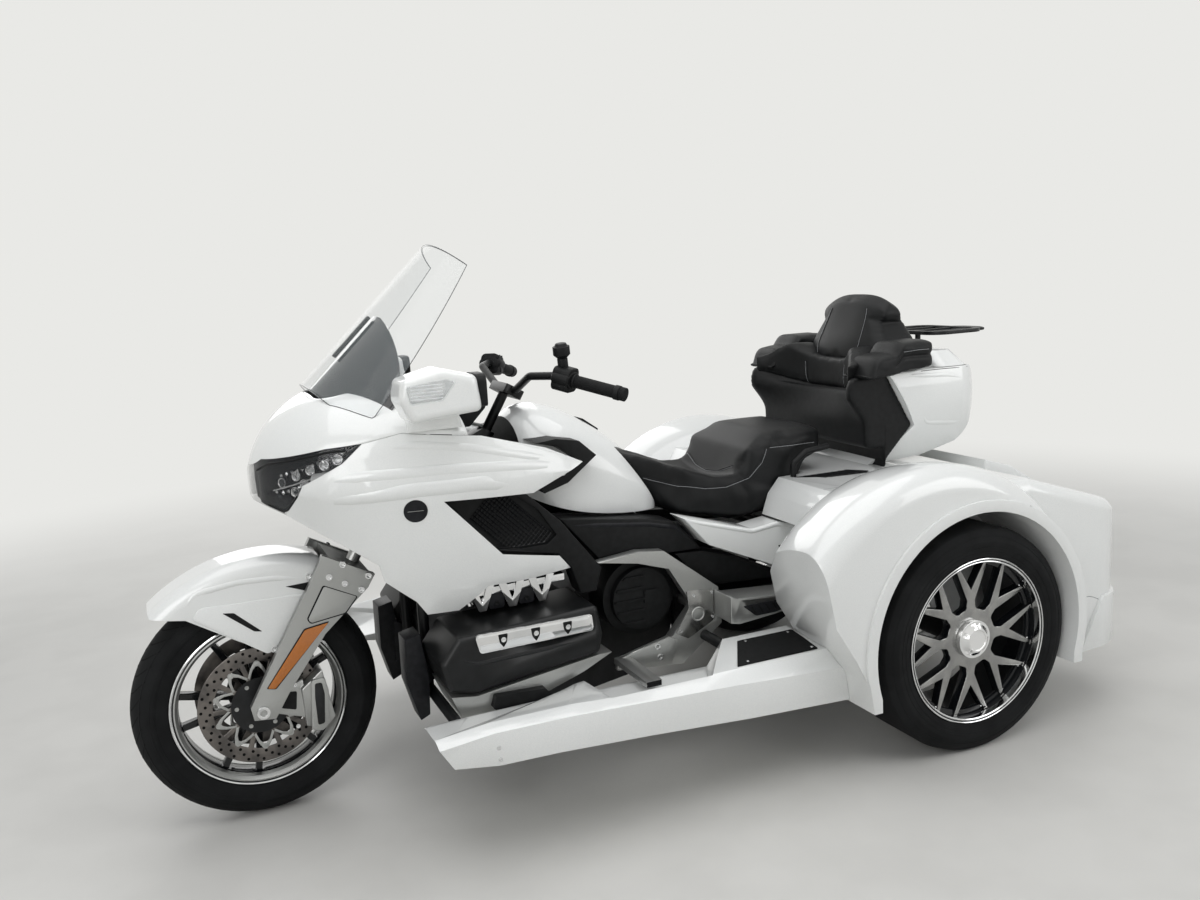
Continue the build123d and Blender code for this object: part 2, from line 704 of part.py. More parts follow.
def trunk_form(inset, mode=Mode.ADD):
    """The top box's outer form below the lid, drawn in by an inset."""
    rings = []
    for z, half, radius in ((740, 200, 70), (900, trunk_half, 100), (1120, 270, 100)):
        with BuildSketch(Plane.XY.offset(z)) as ring:
            with Locations((-880, 0)):
                RectangleRounded(560 - 2 * inset, 2 * (half - inset), radius - inset)
        rings.append(ring.sketch)
    loft(rings, mode=mode)


def trunk_tray(inset):
    """The tray's solid, with an inset for its walls."""
    trunk_form(inset)
    with BuildSketch(side_view(2 * trunk_half)) as side:
        outline(notch + [(-953, 770), (-1074, 808), (-1160, 900), (-1160, 985), (-1110, lid_seam_z)])
        if inset:
            offset(amount=-inset, kind=Kind.INTERSECTION)
            outline([(-1000, 1000), (-1104, 1000), (-1104, 1100), (-1000, 1100)])
    extrude(side.sketch, amount=4 * trunk_half, mode=Mode.INTERSECT)


with BuildPart() as trunk_room:
    trunk_tray(trunk_wall)
with BuildPart() as trunk_body:
    trunk_tray(0)
    add(trunk_room.part, mode=Mode.SUBTRACT)
save("trunk_body", trunk_body)

with BuildPart() as trunk_front:
    with BuildSketch(side_view(trunk_half - 12)):
        outline([(-660, front_top_z), (-628, 980), (-630, 900), (-632, 825), (-700, 822),
                 (-720, trunk_low_z - seam / 2)] + notch[::-1])
        offset(amount=-seam / 2, kind=Kind.INTERSECTION)
    extrude(amount=2 * (trunk_half - 12))
save("trunk_front", trunk_front)

with BuildPart() as trunk_lid:
    for z, x_low, half, radius in ((lid_seam_z + seam, -1112, 285, 40), (1100, -1092, 230, 40)):
        with BuildSketch(Plane.XY.offset(z)):
            with Locations(((x_low - 990) / 2, 0)):
                RectangleRounded(-990 - x_low, 2 * half, radius)
    loft()
save("trunk_lid", trunk_lid)

rack_z = 1140
rack_wall = 12
with BuildPart() as luggage_rack:
    with BuildSketch(Plane.XY.offset(rack_z)):
        with Locations((-1190, 0)):
            RectangleRounded(220, 320, 60)
            RectangleRounded(180, 280, 45, mode=Mode.SUBTRACT)
    extrude(amount=rack_wall)
    with BuildSketch(Plane.XY.offset(1100 + seat_gap)):
        with Locations((-1092, -60), (-1092, 60)):
            Circle(9)
    extrude(amount=rack_z - 1100 + 4)
save("luggage_rack", luggage_rack)

# Rear body: arches over the wheels, deck and tail
well_gap = 30
well_y = rear_wheel_y - rear_tyre_width / 2 - well_gap
arch_gap = 33
arch_centre = (rear_axle_x + 14, rear_tyre_radius + 18)
arch_radius = rear_tyre_radius + arch_gap
crest_centre = (rear_axle_x + 133, rear_tyre_radius - 17)
crest_radius = arch_radius + 171
crest_round = 72
shoulder_y = well_y + 52
shoulder_drop = 28
tail_round = 40
bumper_rise = 14
flare_cover = 16
body_half = rear_wheel_y + rear_tyre_width / 2 + flare_cover
flare_rise = 8
flare_width = 32
well_wall = 8
tail_half = 676
tail_corner = 190
tail_top_x = -980
lid_half = 330
lid_front_x = -1132
lid_low_z = 430
lamp_y = 440
lamp_z = 490
lamp_width = 150
lamp_height = 110
axle_tube_radius = 60
boot_wall = 8
boot_front_x = -590
body_low_z = 205
arch_front = [(-229, 900), (-229, 656), (-268, 460), (-330, 360), (-366, 290), (-380, body_low_z)]
arch_side = arch_front + [(-1140, body_low_z), (-1150, 560), (-1100, 900)]


def tail_form(inset):
    """The outer form of the tail between and behind the wheels, drawn in by an inset."""
    with BuildSketch(side_view(tail_half)) as side:
        outline([(-378, 654), (-400, 715), (-440, deck_z), (tail_top_x, deck_z), (-1310, 655), (-1404, 555),
                 (-1418, 358), (tail_x, 350), (tail_x, 290), (-1385, body_low_z), (-1128, body_low_z),
                 (-1128, 440), (body_front_x, 440), (body_front_x, 624)])
        if inset:
            offset(amount=-inset, kind=Kind.INTERSECTION)
    with BuildSketch(Plane.XY) as plan:
        outline([(-360, tail_half), (-1100, tail_half), (tail_x, tail_half - 24), (tail_x, 24 - tail_half),
                 (-1100, -tail_half), (-360, -tail_half)])
        fillet(plan.vertices().group_by(Axis.X)[0], tail_corner)
        if inset:
            offset(amount=-inset, kind=Kind.INTERSECTION)
    extrude(side.sketch, amount=2 * tail_half)
    extrude(plan.sketch, amount=1000, mode=Mode.INTERSECT)


def bumper_form():
    """A band that stands out round the tail's lower rear."""
    with BuildSketch(side_view(tail_half + bumper_rise)) as side:
        outline([(-1262, 350), (-1276, 362), (tail_x, 350), (tail_x, 290), (-1385, body_low_z),
                 (-1180, body_low_z)])
    with BuildSketch(Plane.XY) as plan:
        outline([(-1000, tail_half + bumper_rise), (tail_x, tail_half + bumper_rise - 24),
                 (tail_x, 24 - tail_half - bumper_rise), (-1000, -tail_half - bumper_rise)])
        fillet(plan.vertices().group_by(Axis.X)[0], tail_corner)
        with Locations((tail_x + 165, 0)):
            Rectangle(180, 2 * lid_half + 40, mode=Mode.SUBTRACT)
    extrude(side.sketch, amount=2 * (tail_half + bumper_rise))
    extrude(plan.sketch, amount=1000, mode=Mode.INTERSECT)


def arch_opening(radius):
    """The wheel opening's side outline, open to the ground."""
    with Locations(arch_centre):
        Circle(radius)
    with Locations((arch_centre[0], 150)):
        Rectangle(2 * radius - 30, 300)


def lid_window(gap):
    """The boot lid's side outline, grown by a gap."""
    low = lid_low_z - gap
    return [(lid_front_x + gap, 1000), (tail_x - 20, 1000), (tail_x - 20, low), (-1300, low), (-1300, 590),
            (lid_front_x + gap, 640)]


with BuildPart() as boot_room:
    tail_form(boot_wall)
    with BuildSketch(Plane.XY):
        with Locations(((boot_front_x + tail_x) / 2, 0)):
            Rectangle(boot_front_x - tail_x, 2 * (well_y - well_wall))
    extrude(amount=1000, mode=Mode.INTERSECT)

with BuildPart() as arches:
    with BuildSketch(Plane(origin=(crest_centre[0], 0, crest_centre[1]), x_dir=(0, 1, 0), z_dir=(1, 0, 0))):
        with BuildLine():
            slope = Polyline((body_half, 0), (well_y, 0), (well_y, crest_radius - shoulder_drop - 50),
                             (shoulder_y, crest_radius - shoulder_drop))
            crown = ThreePointArc(slope @ 1,
                                  ((shoulder_y + body_half - crest_round) / 2,
                                   crest_radius - shoulder_drop / 4),
                                  (body_half - crest_round, crest_radius))
            edge = CenterArc((body_half - crest_round, crest_radius - crest_round), crest_round, 0, 90)
            Line(edge @ 0, (body_half, 0))
        make_face()
    revolve(axis=Axis((crest_centre[0], 0, crest_centre[1]), (0, 1, 0)))
    with BuildSketch(side_view(body_half + flare_rise)):
        arch_opening(arch_radius + flare_width)
    extrude(amount=flare_rise + crest_round)
    with BuildSketch(side_view(body_half + flare_rise)):
        outline(arch_side)
    extrude(amount=body_half + flare_rise, mode=Mode.INTERSECT)
    with BuildSketch(side_view(body_half + flare_rise)):
        arch_opening(arch_radius)
    extrude(amount=body_half + flare_rise - well_y, mode=Mode.SUBTRACT)
    with BuildSketch(side_view(well_y)):
        with Locations(arch_centre):
            Circle(arch_radius + well_wall)
        with Locations((arch_centre[0], body_low_z + 300)):
            Rectangle(3 * arch_radius, 600, mode=Mode.INTERSECT)
    extrude(amount=well_wall)
    with Locations(side_view(well_y, rear_axle_x, rear_tyre_radius)):
        Hole(axle_tube_radius, depth=well_wall)

with BuildPart() as bumper:
    bumper_form()

with BuildPart() as rear_body:
    tail_form(0)
    rims = rear_body.edges().filter_by(lambda e: e.center().Z > 640 and abs(e.center().Y) > lid_half)
    fillet(rims.filter_by(lambda e: e.center().X < -700), tail_round)
    for side in (1, -1):
        with BuildSketch(side_view(side * (body_half + 10))):
            arch_opening(arch_radius)
        extrude(amount=side * (body_half + 10 - well_y), mode=Mode.SUBTRACT)
    add(arches.part)
    add(arches.part.mirror(Plane.XZ))
    add(bumper.part)
    add(boot_room.part, mode=Mode.SUBTRACT)
    plate([(-360, 600), (-428, 648), (-524, 734), (-562, 806), (-640, 806), (-640, 900), (-360, 900)],
          -seat_half - seat_gap, seat_half + seat_gap, mode=Mode.SUBTRACT)
    plate(lid_window(seam), -lid_half - seam, lid_half + seam, mode=Mode.SUBTRACT)
    with Locations((tail_x, lamp_y, lamp_z), (tail_x, -lamp_y, lamp_z)):
        Box(100, lamp_width + 2 * seam, lamp_height + 2 * seam, mode=Mode.SUBTRACT)
save("rear_body", rear_body)

with BuildPart() as rear_lid:
    plate([(lid_front_x, 748), (-1240, 716), (-1325, 664), (-1414, 562), (-1427, lid_low_z),
           (-1395, lid_low_z), (-1300, 600), (lid_front_x, 640)], -lid_half, lid_half)
    add(boot_room.part, mode=Mode.SUBTRACT)
save("rear_lid", rear_lid)

with BuildPart() as tail_lamps:
    tail_form(0)
    with BuildSketch(Plane.XY):
        with Locations((tail_x, lamp_y), (tail_x, -lamp_y)):
            Rectangle(98, lamp_width)
    extrude(amount=1000, mode=Mode.INTERSECT)
    with BuildSketch(Plane.XY.offset(lamp_z - lamp_height / 2)):
        Rectangle(2 * overall_length, 2 * tail_half)
    extrude(amount=lamp_height, mode=Mode.INTERSECT)
save("tail_lamps", tail_lamps)

# Running boards beside the engine, with a sunk foot well, and their tread pads
board_out_y = 624
board_rim_y = 585
foot_well_y = 588
tread_in_z = 366
tread_rim_z = 356
board_under = [(-420, 210), (-61, 228), (232, 249), (476, 263), (630, 267), (740, 284)]
board_inner = [(752, 300), (640, 304), (430, 306), (340, 330), (-20, tread_in_z), (-420, tread_in_z)]
board_rim = [(772, 348), (640, 362), (430, 362), (340, 356), (-20, tread_rim_z), (-420, tread_rim_z)]
board_edge = [(772, 336), (640, 350), (430, 348), (340, 344), (-20, 328), (-420, 304)]
with BuildPart() as foot_well:
    with BuildSketch(side_view(board_in_y)):
        outline([(372, 440), (296, 300), (-60, 296), (-170, 440)])
    with BuildSketch(side_view(foot_well_y)):
        outline([(352, 440), (300, 306), (40, 300), (8, 440)])
    loft(ruled=True)

with BuildPart() as running_boards:
    for y, top in ((board_in_y, board_inner), (board_rim_y, board_rim), (board_out_y, board_edge)):
        with BuildSketch(side_view(y)):
            outline(top + board_under)
    loft(ruled=True)
    plate([(x + seam, z) for x, z in arch_front] + [(-500, body_low_z), (-500, 900)], board_in_y, board_out_y,
          mode=Mode.SUBTRACT)
    add(foot_well.part, mode=Mode.SUBTRACT)
    mirror(about=Plane.XZ)
save("running_boards", running_boards)

pad_wall = 3
pad_in_y = 432
pad_out_y = 578
tread_fall = (tread_in_z - tread_rim_z) / (board_rim_y - board_in_y)
pad_in_z = tread_in_z - (pad_in_y - board_in_y) * tread_fall + seat_gap
pad_out_z = tread_in_z - (pad_out_y - board_in_y) * tread_fall + seat_gap
with BuildPart() as board_pads:
    with BuildSketch(Plane.YZ.offset(-340)):
        outline([(pad_in_y, pad_in_z), (pad_out_y, pad_out_z), (pad_out_y, pad_out_z + pad_wall),
                 (pad_in_y, pad_in_z + pad_wall)])
    extrude(amount=300)
    with BuildSketch(Plane.XY.offset(200)):
        outline([(-140, pad_in_y), (-321, pad_in_y), (-316, 500), (-308, pad_out_y), (-53, pad_out_y)])
    extrude(amount=400, mode=Mode.INTERSECT)
    mirror(about=Plane.XZ)
save("board_pads", board_pads)

plate_in_y = 250
plate_out_y = 286
plate_panel_depth = 3
with BuildPart() as frame_plates:
    plate([(205, 614), (80, 626), (4, 617), (-168, 482), (-176, 372), (-43, 272), (97, 285), (102, 309),
           (-5, 350), (-84, 440), (-10, 562), (88, 594)], plate_in_y, plate_out_y)
    with BuildSketch(side_view(spar_y + spar_wall + seat_gap)):
        with Locations((-118, 470), (-118, 420)):
            Circle(16)
    extrude(amount=spar_y + spar_wall + seat_gap - plate_in_y - 2)
    plate([(-61, 485), (-157, 474), (-160, 385), (-62, 347), (-18, 370), (-66, 435)],
          plate_out_y - plate_panel_depth, plate_out_y, mode=Mode.SUBTRACT)
    with Locations(side_view(plate_out_y, pivot_x, pivot_z)):
        Hole(outrigger_radius + seat_gap)
    mirror(about=Plane.XZ)
save("frame_plates", frame_plates)

pillion_out_y = 385
with BuildPart() as pillion_boards:
    plate([(-152, 478), (-178, 470), (-420, 452), (-428, 418), (-300, 404), (-178, 394), (-152, 400)],
          plate_out_y + seat_gap, pillion_out_y)
    plate([(-190, 462), (-400, 446), (-408, 430), (-212, 432)], pillion_out_y - 8, pillion_out_y,
          mode=Mode.SUBTRACT)
    mirror(about=Plane.XZ)
save("pillion_boards", pillion_boards)

peg_x = 154
peg_z = 326
with BuildPart() as foot_pegs:
    plate([(118, 344), (172, 330), (172, 300), (0, 286), (-22, 352), (6, 368)], plate_out_y + seat_gap,
          plate_out_y + 16)
    with Locations((peg_x, 392, peg_z)):
        Box(44, 210, 16)
    mirror(about=Plane.XZ)
save("foot_pegs", foot_pegs)

grab_y = seat_half + 24
with BuildPart() as grab_rails:
    bar([(-478, grab_y, deck_z + seat_gap), (-478, grab_y, 800), (-525, grab_y, 832), (-605, grab_y, 840)],
        9, 14)
    mirror(about=Plane.XZ)
save("grab_rails", grab_rails)

tip_y = 500
tip_height = 34
with BuildPart() as exhaust_tips:
    with Locations((-1325, tip_y, body_low_z - seat_gap - tip_height / 2)):
        Box(140, 110, tip_height)
        fillet(exhaust_tips.edges().filter_by(Axis.X), 12)
    with Locations((-1390, tip_y, body_low_z - seat_gap - tip_height / 2)):
        Box(60, 98, tip_height - 12, mode=Mode.SUBTRACT)
    mirror(about=Plane.XZ)
save("exhaust_tips", exhaust_tips)

# Rear wheels: one tyre and one rim each side
rear_bead_radius = 240
rear_rim_half = 110
rear_hub_radius = 86
rear_face_y = 80
rear_bore_radius = 34
rear_arm_count = 8
rear_arm = [(60, -20), (112, -14), (224, -62), (227, -52), (142, 0), (227, 52), (224, 62), (112, 14),
            (60, 20)]
spoke_wall = 30
for side, word in ((1, "left"), (-1, "right")):
    wheel = Plane(origin=(rear_axle_x, side * rear_wheel_y, rear_tyre_radius), x_dir=(0, 1, 0),
                  z_dir=(1, 0, 0))
    with BuildPart() as rear_tyre:
        with BuildSketch(wheel):
            outline([
                (-rear_rim_half, rear_bead_radius), (rear_rim_half, rear_bead_radius),
                (rear_tyre_width / 2, rear_bead_radius + 45),
                (rear_tyre_width / 2 - 14, rear_tyre_radius - 6),
                (rear_tyre_width / 2 - 36, rear_tyre_radius), (36 - rear_tyre_width / 2, rear_tyre_radius),
                (14 - rear_tyre_width / 2, rear_tyre_radius - 6),
                (-rear_tyre_width / 2, rear_bead_radius + 45), ])
        revolve(axis=rear_spin)
    save(f"rear_tyre_{word}", rear_tyre)
    with BuildPart() as rear_rim:
        with BuildSketch(wheel):
            outline([
                (-rear_rim_half, rear_bead_radius - seat_gap), (rear_rim_half, rear_bead_radius - seat_gap),
                (rear_rim_half, rear_bead_radius - 10), (-rear_rim_half, rear_bead_radius - 14),
            ])
        revolve(axis=rear_spin)
        with BuildSketch(side_view(side * (rear_wheel_y + rear_face_y), rear_axle_x,
                                   rear_tyre_radius)) as face:
            Circle(rear_hub_radius)
            with PolarLocations(0, rear_arm_count):
                Polygon(*rear_arm, align=None)
            fillet(face.vertices().filter_by(lambda v: Vector(v).length < rear_hub_radius + 1), 14)
            Circle(rear_bore_radius + shaft_clearance, mode=Mode.SUBTRACT)
        extrude(amount=side * spoke_wall)
    save(f"rear_rim_{word}", rear_rim)

# Rear axle: stubs, differential and torque arms to the frame's pivot
axle_end_y = rear_wheel_y + 95
with BuildPart() as rear_axle:
    with BuildSketch(side_view(axle_end_y, rear_axle_x, rear_tyre_radius)):
        Circle(rear_bore_radius)
    extrude(amount=2 * axle_end_y)
    with BuildSketch(side_view(90, rear_axle_x, rear_tyre_radius)):
        Circle(105)
    extrude(amount=180)
    plate([(-680, 370), (pivot_x - outrigger_radius - seat_gap, pivot_z + 30),
           (pivot_x - outrigger_radius - seat_gap, pivot_z - 30), (-680, 290)], 40, 92)
    mirror(about=Plane.XZ)
save("rear_axle", rear_axle)
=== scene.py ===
import json
import math

import bmesh
import bpy
from mathutils import Matrix, Vector


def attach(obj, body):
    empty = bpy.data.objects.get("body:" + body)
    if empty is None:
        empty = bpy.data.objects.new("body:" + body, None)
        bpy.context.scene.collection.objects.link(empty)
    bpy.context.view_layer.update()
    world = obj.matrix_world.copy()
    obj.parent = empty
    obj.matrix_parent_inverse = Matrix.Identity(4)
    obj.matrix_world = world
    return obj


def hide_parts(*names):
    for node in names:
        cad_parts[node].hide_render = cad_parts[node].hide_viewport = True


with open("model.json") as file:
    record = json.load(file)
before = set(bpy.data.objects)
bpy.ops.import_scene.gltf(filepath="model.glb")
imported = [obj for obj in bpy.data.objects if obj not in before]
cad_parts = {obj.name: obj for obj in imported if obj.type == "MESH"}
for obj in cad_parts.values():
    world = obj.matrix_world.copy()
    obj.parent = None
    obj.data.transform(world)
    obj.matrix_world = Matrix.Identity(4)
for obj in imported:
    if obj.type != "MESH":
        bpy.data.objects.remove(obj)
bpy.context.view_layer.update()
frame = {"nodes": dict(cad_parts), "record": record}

# A white touring trike in a plain pale studio. The frame is in metres, +X forward, +Y left, +Z up,
# and the places of the pieces below are written in millimetres of the same frame.

MM = 0.001
FRONT_AXLE = (1110, 320)
REAR_AXLE = (-765, 327)
REAR_WHEEL_Y = 588
WELD_DISTANCE = 0.02 * MM
CELLS = "ShaderNodeTexVoronoi"


# Materials

def tint(code):
    """A linear colour from an sRGB hex value."""
    parts = [int(code[i:i + 2], 16) / 255 for i in (1, 3, 5)]
    return [p / 12.92 if p <= 0.04045 else ((p + 0.055) / 1.055) ** 2.4 for p in parts] + [1]


def add(tree, kind, values=(), links=(), **settings):
    """Adds a shader node with its settings, its input values and the links into it."""
    node = tree.nodes.new(kind)
    for name, value in settings.items():
        setattr(node, name, value)
    for name, value in dict(values).items():
        node.inputs[name].default_value = value
    for name, source in dict(links).items():
        tree.links.new(source, node.inputs[name])
    return node


def coating(name, shades, mottle, relief, strength, depth, pattern="ShaderNodeTexNoise", stretch=(1, 1, 1),
            choices=(), **surface):
    """A Principled material in two near shades with a fine relief.

    mottle and relief are (grains per metre, detail) and depth is the relief's height in metres. pattern is
    the relief's texture, with its choices, stretched along the piece's own axes.
    """
    made = bpy.data.materials.new(name)
    made.use_nodes = True
    tree = made.node_tree
    shader = tree.nodes["Principled BSDF"]
    for key, value in surface.items():
        shader.inputs[key.replace("_", " ")].default_value = value
    place = add(tree, "ShaderNodeTexCoord").outputs["Object"]
    cloud = add(tree, "ShaderNodeTexNoise", {"Scale": mottle[0], "Detail": mottle[1]}, {"Vector": place})
    ramp = add(tree, "ShaderNodeValToRGB", {}, {"Fac": cloud.outputs["Fac"]})
    for element, position, shade in zip(ramp.color_ramp.elements, (0.4, 0.6), shades):
        element.position = position
        element.color = tint(shade)
    tree.links.new(ramp.outputs["Color"], shader.inputs["Base Color"])
    spread = add(tree, "ShaderNodeMapping", {"Scale": stretch}, {"Vector": place})
    fine = add(tree, pattern, {"Scale": relief[0], "Detail": relief[1]},
               {"Vector": spread.outputs["Vector"]}, **dict(choices))
    height = fine.outputs["Distance" if pattern == CELLS else "Fac"]
    normal = add(tree, "ShaderNodeBump", {"Strength": strength, "Distance": depth}, {"Height": height})
    tree.links.new(normal.outputs["Normal"], shader.inputs["Normal"])
    return made


# Sprayed pearl white over plastic: a deep clear coat over fine mica flakes
WHITE = coating("pearl_white_lacquer", ("#DCDEDD", "#E6E7E5"), (900, 2), (30, 2), 0.04, 0.0004,
                Roughness=0.32, Coat_Weight=1.0, Coat_Roughness=0.04)
# Gloss black lacquer: near mirror with a faint orange peel
GLOSS_BLACK = coating("gloss_black_lacquer", ("#0D0E10", "#15171A"), (700, 2), (220, 2), 0.05, 0.0003,
                      Roughness=0.22, Specular_IOR_Level=0.25, Coat_Weight=0.3, Coat_Roughness=0.05)


def moulded_abs(name, shades, roughness):
    """Injection-moulded plastic or rubber: an even shade with a spark-eroded grain of about 1 mm."""
    return coating(name, shades, (60, 3), (900, 0), 0.25, 0.0004, CELLS, Roughness=roughness,
                   Specular_IOR_Level=0.2)


ABS_BLACK = moulded_abs("moulded_black_abs", ("#090A0B", "#101112"), 0.5)
ABS_GREY = moulded_abs("moulded_grey_abs", ("#141518", "#1C1D20"), 0.42)
GRIP = moulded_abs("moulded_grip_rubber", ("#08090A", "#0E0F10"), 0.7)
# Matte near-black: painted shade for the bottoms of the tyre's grooves, the disc's drilled holes and the
# rack's slot
PAINTED_SHADE_BLACK = moulded_abs("painted_hollow_shade", ("#020202", "#040404"), 0.95)
SEAM_GREY = moulded_abs("grey_joint_sealant", ("#77797B", "#85878A"), 0.6)
LED_WHITE = moulded_abs("moulded_white_reflector", ("#D9DBDC", "#E6E7E8"), 0.25)
# Vulcanised rubber: charcoal with a dusty bloom and fine mould lines
RUBBER = coating("vulcanised_rubber", ("#0F1011", "#171819"), (12, 5), (1400, 3), 0.35, 0.0004,
                 Roughness=0.72, Specular_IOR_Level=0.15)
# Silver-painted die casting: satin metal with a soft sand texture
SILVER = coating("silver_painted_casting", ("#A2A3A1", "#B4B5B3"), (1300, 2), (1100, 3), 0.15, 0.0003,
                 Roughness=0.33, Metallic=0.8)
# Chromium plate: mirror-bright with the slightest waviness
CHROME = coating("chromium_plate", ("#DADBDC", "#E8E8E8"), (8, 2), (60, 2), 0.03, 0.0005, Roughness=0.07,
                 Metallic=1.0)
# Diamond-turned aluminium: mid grey with fine turning lines
MACHINED = coating("machined_aluminium", ("#8F8F8E", "#9D9D9B"), (25, 3), (1500, 2), 0.08, 0.0002,
                   stretch=(1, 6, 1), Roughness=0.22, Metallic=1.0)
# Ground stainless brake disc, browned a little by heat and dust
DISC = coating("ground_disc_steel", ("#5B5856", "#77726E"), (18, 4), (800, 2), 0.1, 0.0002, Roughness=0.36,
               Metallic=0.9)
# Baked black enamel on steel and castings: satin and even
ENAMEL = coating("black_enamel", ("#0B0C0D", "#131415"), (20, 4), (500, 3), 0.12, 0.0004, Roughness=0.38,
                 Specular_IOR_Level=0.3)
# Powder-coated sand casting: dark and rough at 1 to 2 mm
CASTING = coating("dark_sand_casting", ("#121314", "#1C1D1F"), (30, 5), (650, 4), 0.3, 0.0006,
                  Roughness=0.55, Metallic=0.35)
# Vinyl seat cover: black, with a pebbled leather grain of about 1.5 mm
VINYL = coating("grained_seat_vinyl", ("#0C0D0E", "#141516"), (9, 4), (620, 0), 0.45, 0.0006, CELLS,
                choices={"feature": "SMOOTH_F1"}, Roughness=0.46, Specular_IOR_Level=0.2)
# Polished rim lips and bolt heads: bright, with faint turning lines
POLISHED = coating("polished_aluminium", ("#D2D3D4", "#DFE0E0"), (40, 2), (900, 2), 0.05, 0.0002,
                   Roughness=0.13, Metallic=1.0)
# Moulded red acrylic with pressed prisms of 4 mm
RED = coating("red_acrylic", ("#7A0E10", "#9C1416"), (30, 2), (40, 2), 0.4, 0.0008, "ShaderNodeTexWave",
              choices={"bands_direction": "Z"}, Roughness=0.12, Coat_Weight=0.6)
# Moulded amber acrylic with pressed prisms of 4 mm
AMBER = coating("amber_acrylic", ("#A45A08", "#B4680E"), (900, 2), (250, 0), 0.5, 0.0006, CELLS,
                choices={"distance": "CHEBYCHEV"}, Roughness=0.16, Coat_Weight=0.6)
# Waxed grey polyester thread, twisted
THREAD = coating("grey_polyester_thread", ("#6E7072", "#8E9092"), (500, 2), (1600, 2), 0.3, 0.0002,
                 Roughness=0.6, Sheen_Weight=0.3)
# Silvered mirror glass: bright, with a faint waviness
MIRROR_GLASS = coating("silvered_glass", ("#CDD3D6", "#D8DDDF"), (5, 1), (10, 1), 0.01, 0.0003,
                       Roughness=0.03, Metallic=1.0)


def clear_polycarbonate(name, shade, opacity):
    """Moulded polycarbonate: glossy, seen through, slightly tinted."""
    return coating(name, (shade, shade), (6, 2), (6, 2), 0.02, 0.0004, Roughness=0.03, Alpha=opacity,
                   Coat_Weight=0.5)


CLEAR = clear_polycarbonate("clear_polycarbonate", "#C9D2D4", 0.08)
TINTED = clear_polycarbonate("tinted_polycarbonate", "#0C0D12", 0.93)
LENS = clear_polycarbonate("smoked_lens", "#20242A", 0.22)
SMOKE = clear_polycarbonate("smoked_edge", "#2A2E33", 0.85)

FINISHES = {
    "white_body": WHITE, "black_gloss": GLOSS_BLACK, "black_plastic": ABS_BLACK, "tyre": RUBBER,
    "grip_rubber": GRIP, "silver_cast": SILVER, "wheel_metal": MACHINED, "chrome_trim": CHROME,
    "disc_steel": DISC, "frame_black": ENAMEL, "engine_metal": CASTING, "seat_leather": VINYL,
    "lamp_lens": LENS, "clear_screen": CLEAR, "tinted_screen": TINTED, "red_lens": RED,
}
slot_of = {part["node"]: part["material_slot"] for part in frame["record"]["subparts"]}

# Nodes of many flat faces, with the least angle in degrees at which an edge of theirs is rounded
FLAT_SIDED = {"running_boards": 9, "frame_plates": 14, "pillion_boards": 12, "head_guards": 12,
              "side_panels": 12,
              "seat_side_covers": 12, "side_ducts": 12, "mirrors": 14, "trunk_lid": 20, "head_covers": 14}


for node, piece in frame["nodes"].items():
    piece.data.materials.clear()
    piece.data.materials.append(FINISHES[slot_of[node]])
    weld = piece.modifiers.new("weld", "WELD")
    weld.merge_threshold = WELD_DISTANCE
    edge = piece.modifiers.new("round", "BEVEL")
    edge.width = 3 * MM
    edge.segments = 3
    edge.limit_method = "ANGLE"
    edge.angle_limit = math.radians(FLAT_SIDED.get(node, 30))
    edge.harden_normals = True
    for face in piece.data.polygons:
        face.use_smooth = True


# Modelling steps that the pieces share

def nothing_selected():
    """Leaves edit mode and selects nothing."""
    if bpy.context.object and bpy.context.object.mode == "EDIT":
        bpy.ops.object.mode_set(mode="OBJECT")
    bpy.ops.object.select_all(action="DESELECT")


def take(piece):
    """Makes a piece the only selected one."""
    nothing_selected()
    bpy.context.view_layer.objects.active = piece
    piece.select_set(True)


def begin(name, primitive, **place):
    """Adds a primitive and opens it in edit mode."""
    nothing_selected()
    primitive(**place)
    piece = bpy.context.object
    piece.name = name
    bpy.ops.object.mode_set(mode="EDIT")
    return piece


def drum(name, sides, radius, height):
    """Opens a cylinder about the world's Z in edit mode, in millimetres."""
    return begin(name, bpy.ops.mesh.primitive_cylinder_add, vertices=sides, radius=radius * MM,
                 depth=height * MM)


def verts(piece):
    """The verts of a piece in edit mode."""
    return bmesh.from_edit_mesh(piece.data).verts


def select_all():
    """Selects all of the piece in edit mode."""
    bpy.ops.mesh.select_all(action="SELECT")


def scale(x, y, z):
    """Scales what is selected about its middle."""
    bpy.ops.transform.resize(value=(x, y, z))


def pick(piece, kind, test):
    """Selects the verts, edges or faces of a piece in edit mode that pass a test."""
    bpy.ops.mesh.select_mode(type={"verts": "VERT", "edges": "EDGE", "faces": "FACE"}[kind])
    bpy.ops.mesh.select_all(action="DESELECT")
    mesh = bmesh.from_edit_mesh(piece.data)
    for part in getattr(mesh, kind):
        if test(part):
            part.select_set(True)
    mesh.select_flush_mode()
    bmesh.update_edit_mesh(piece.data)


def top(face):
    """Whether a face in edit mode looks up."""
    return face.normal.z > 0.9


def ends(face):
    """Whether a face in edit mode looks up or down."""
    return abs(face.normal.z) > 0.9


def inset(piece, test, thickness):
    """Insets the faces of a piece that pass a test, by millimetres."""
    pick(piece, "faces", test)
    bpy.ops.mesh.inset(thickness=thickness * MM)


def extrude(x=0, y=0, z=0):
    """Extrudes what is selected by a step in millimetres."""
    bpy.ops.mesh.extrude_region_move(TRANSFORM_OT_translate={"value": (x * MM, y * MM, z * MM)})


def outward(piece):
    """Points all faces of a piece in edit mode outwards."""
    select_all()
    bpy.ops.mesh.remove_doubles(threshold=WELD_DISTANCE)
    bpy.ops.mesh.normals_make_consistent(inside=False)


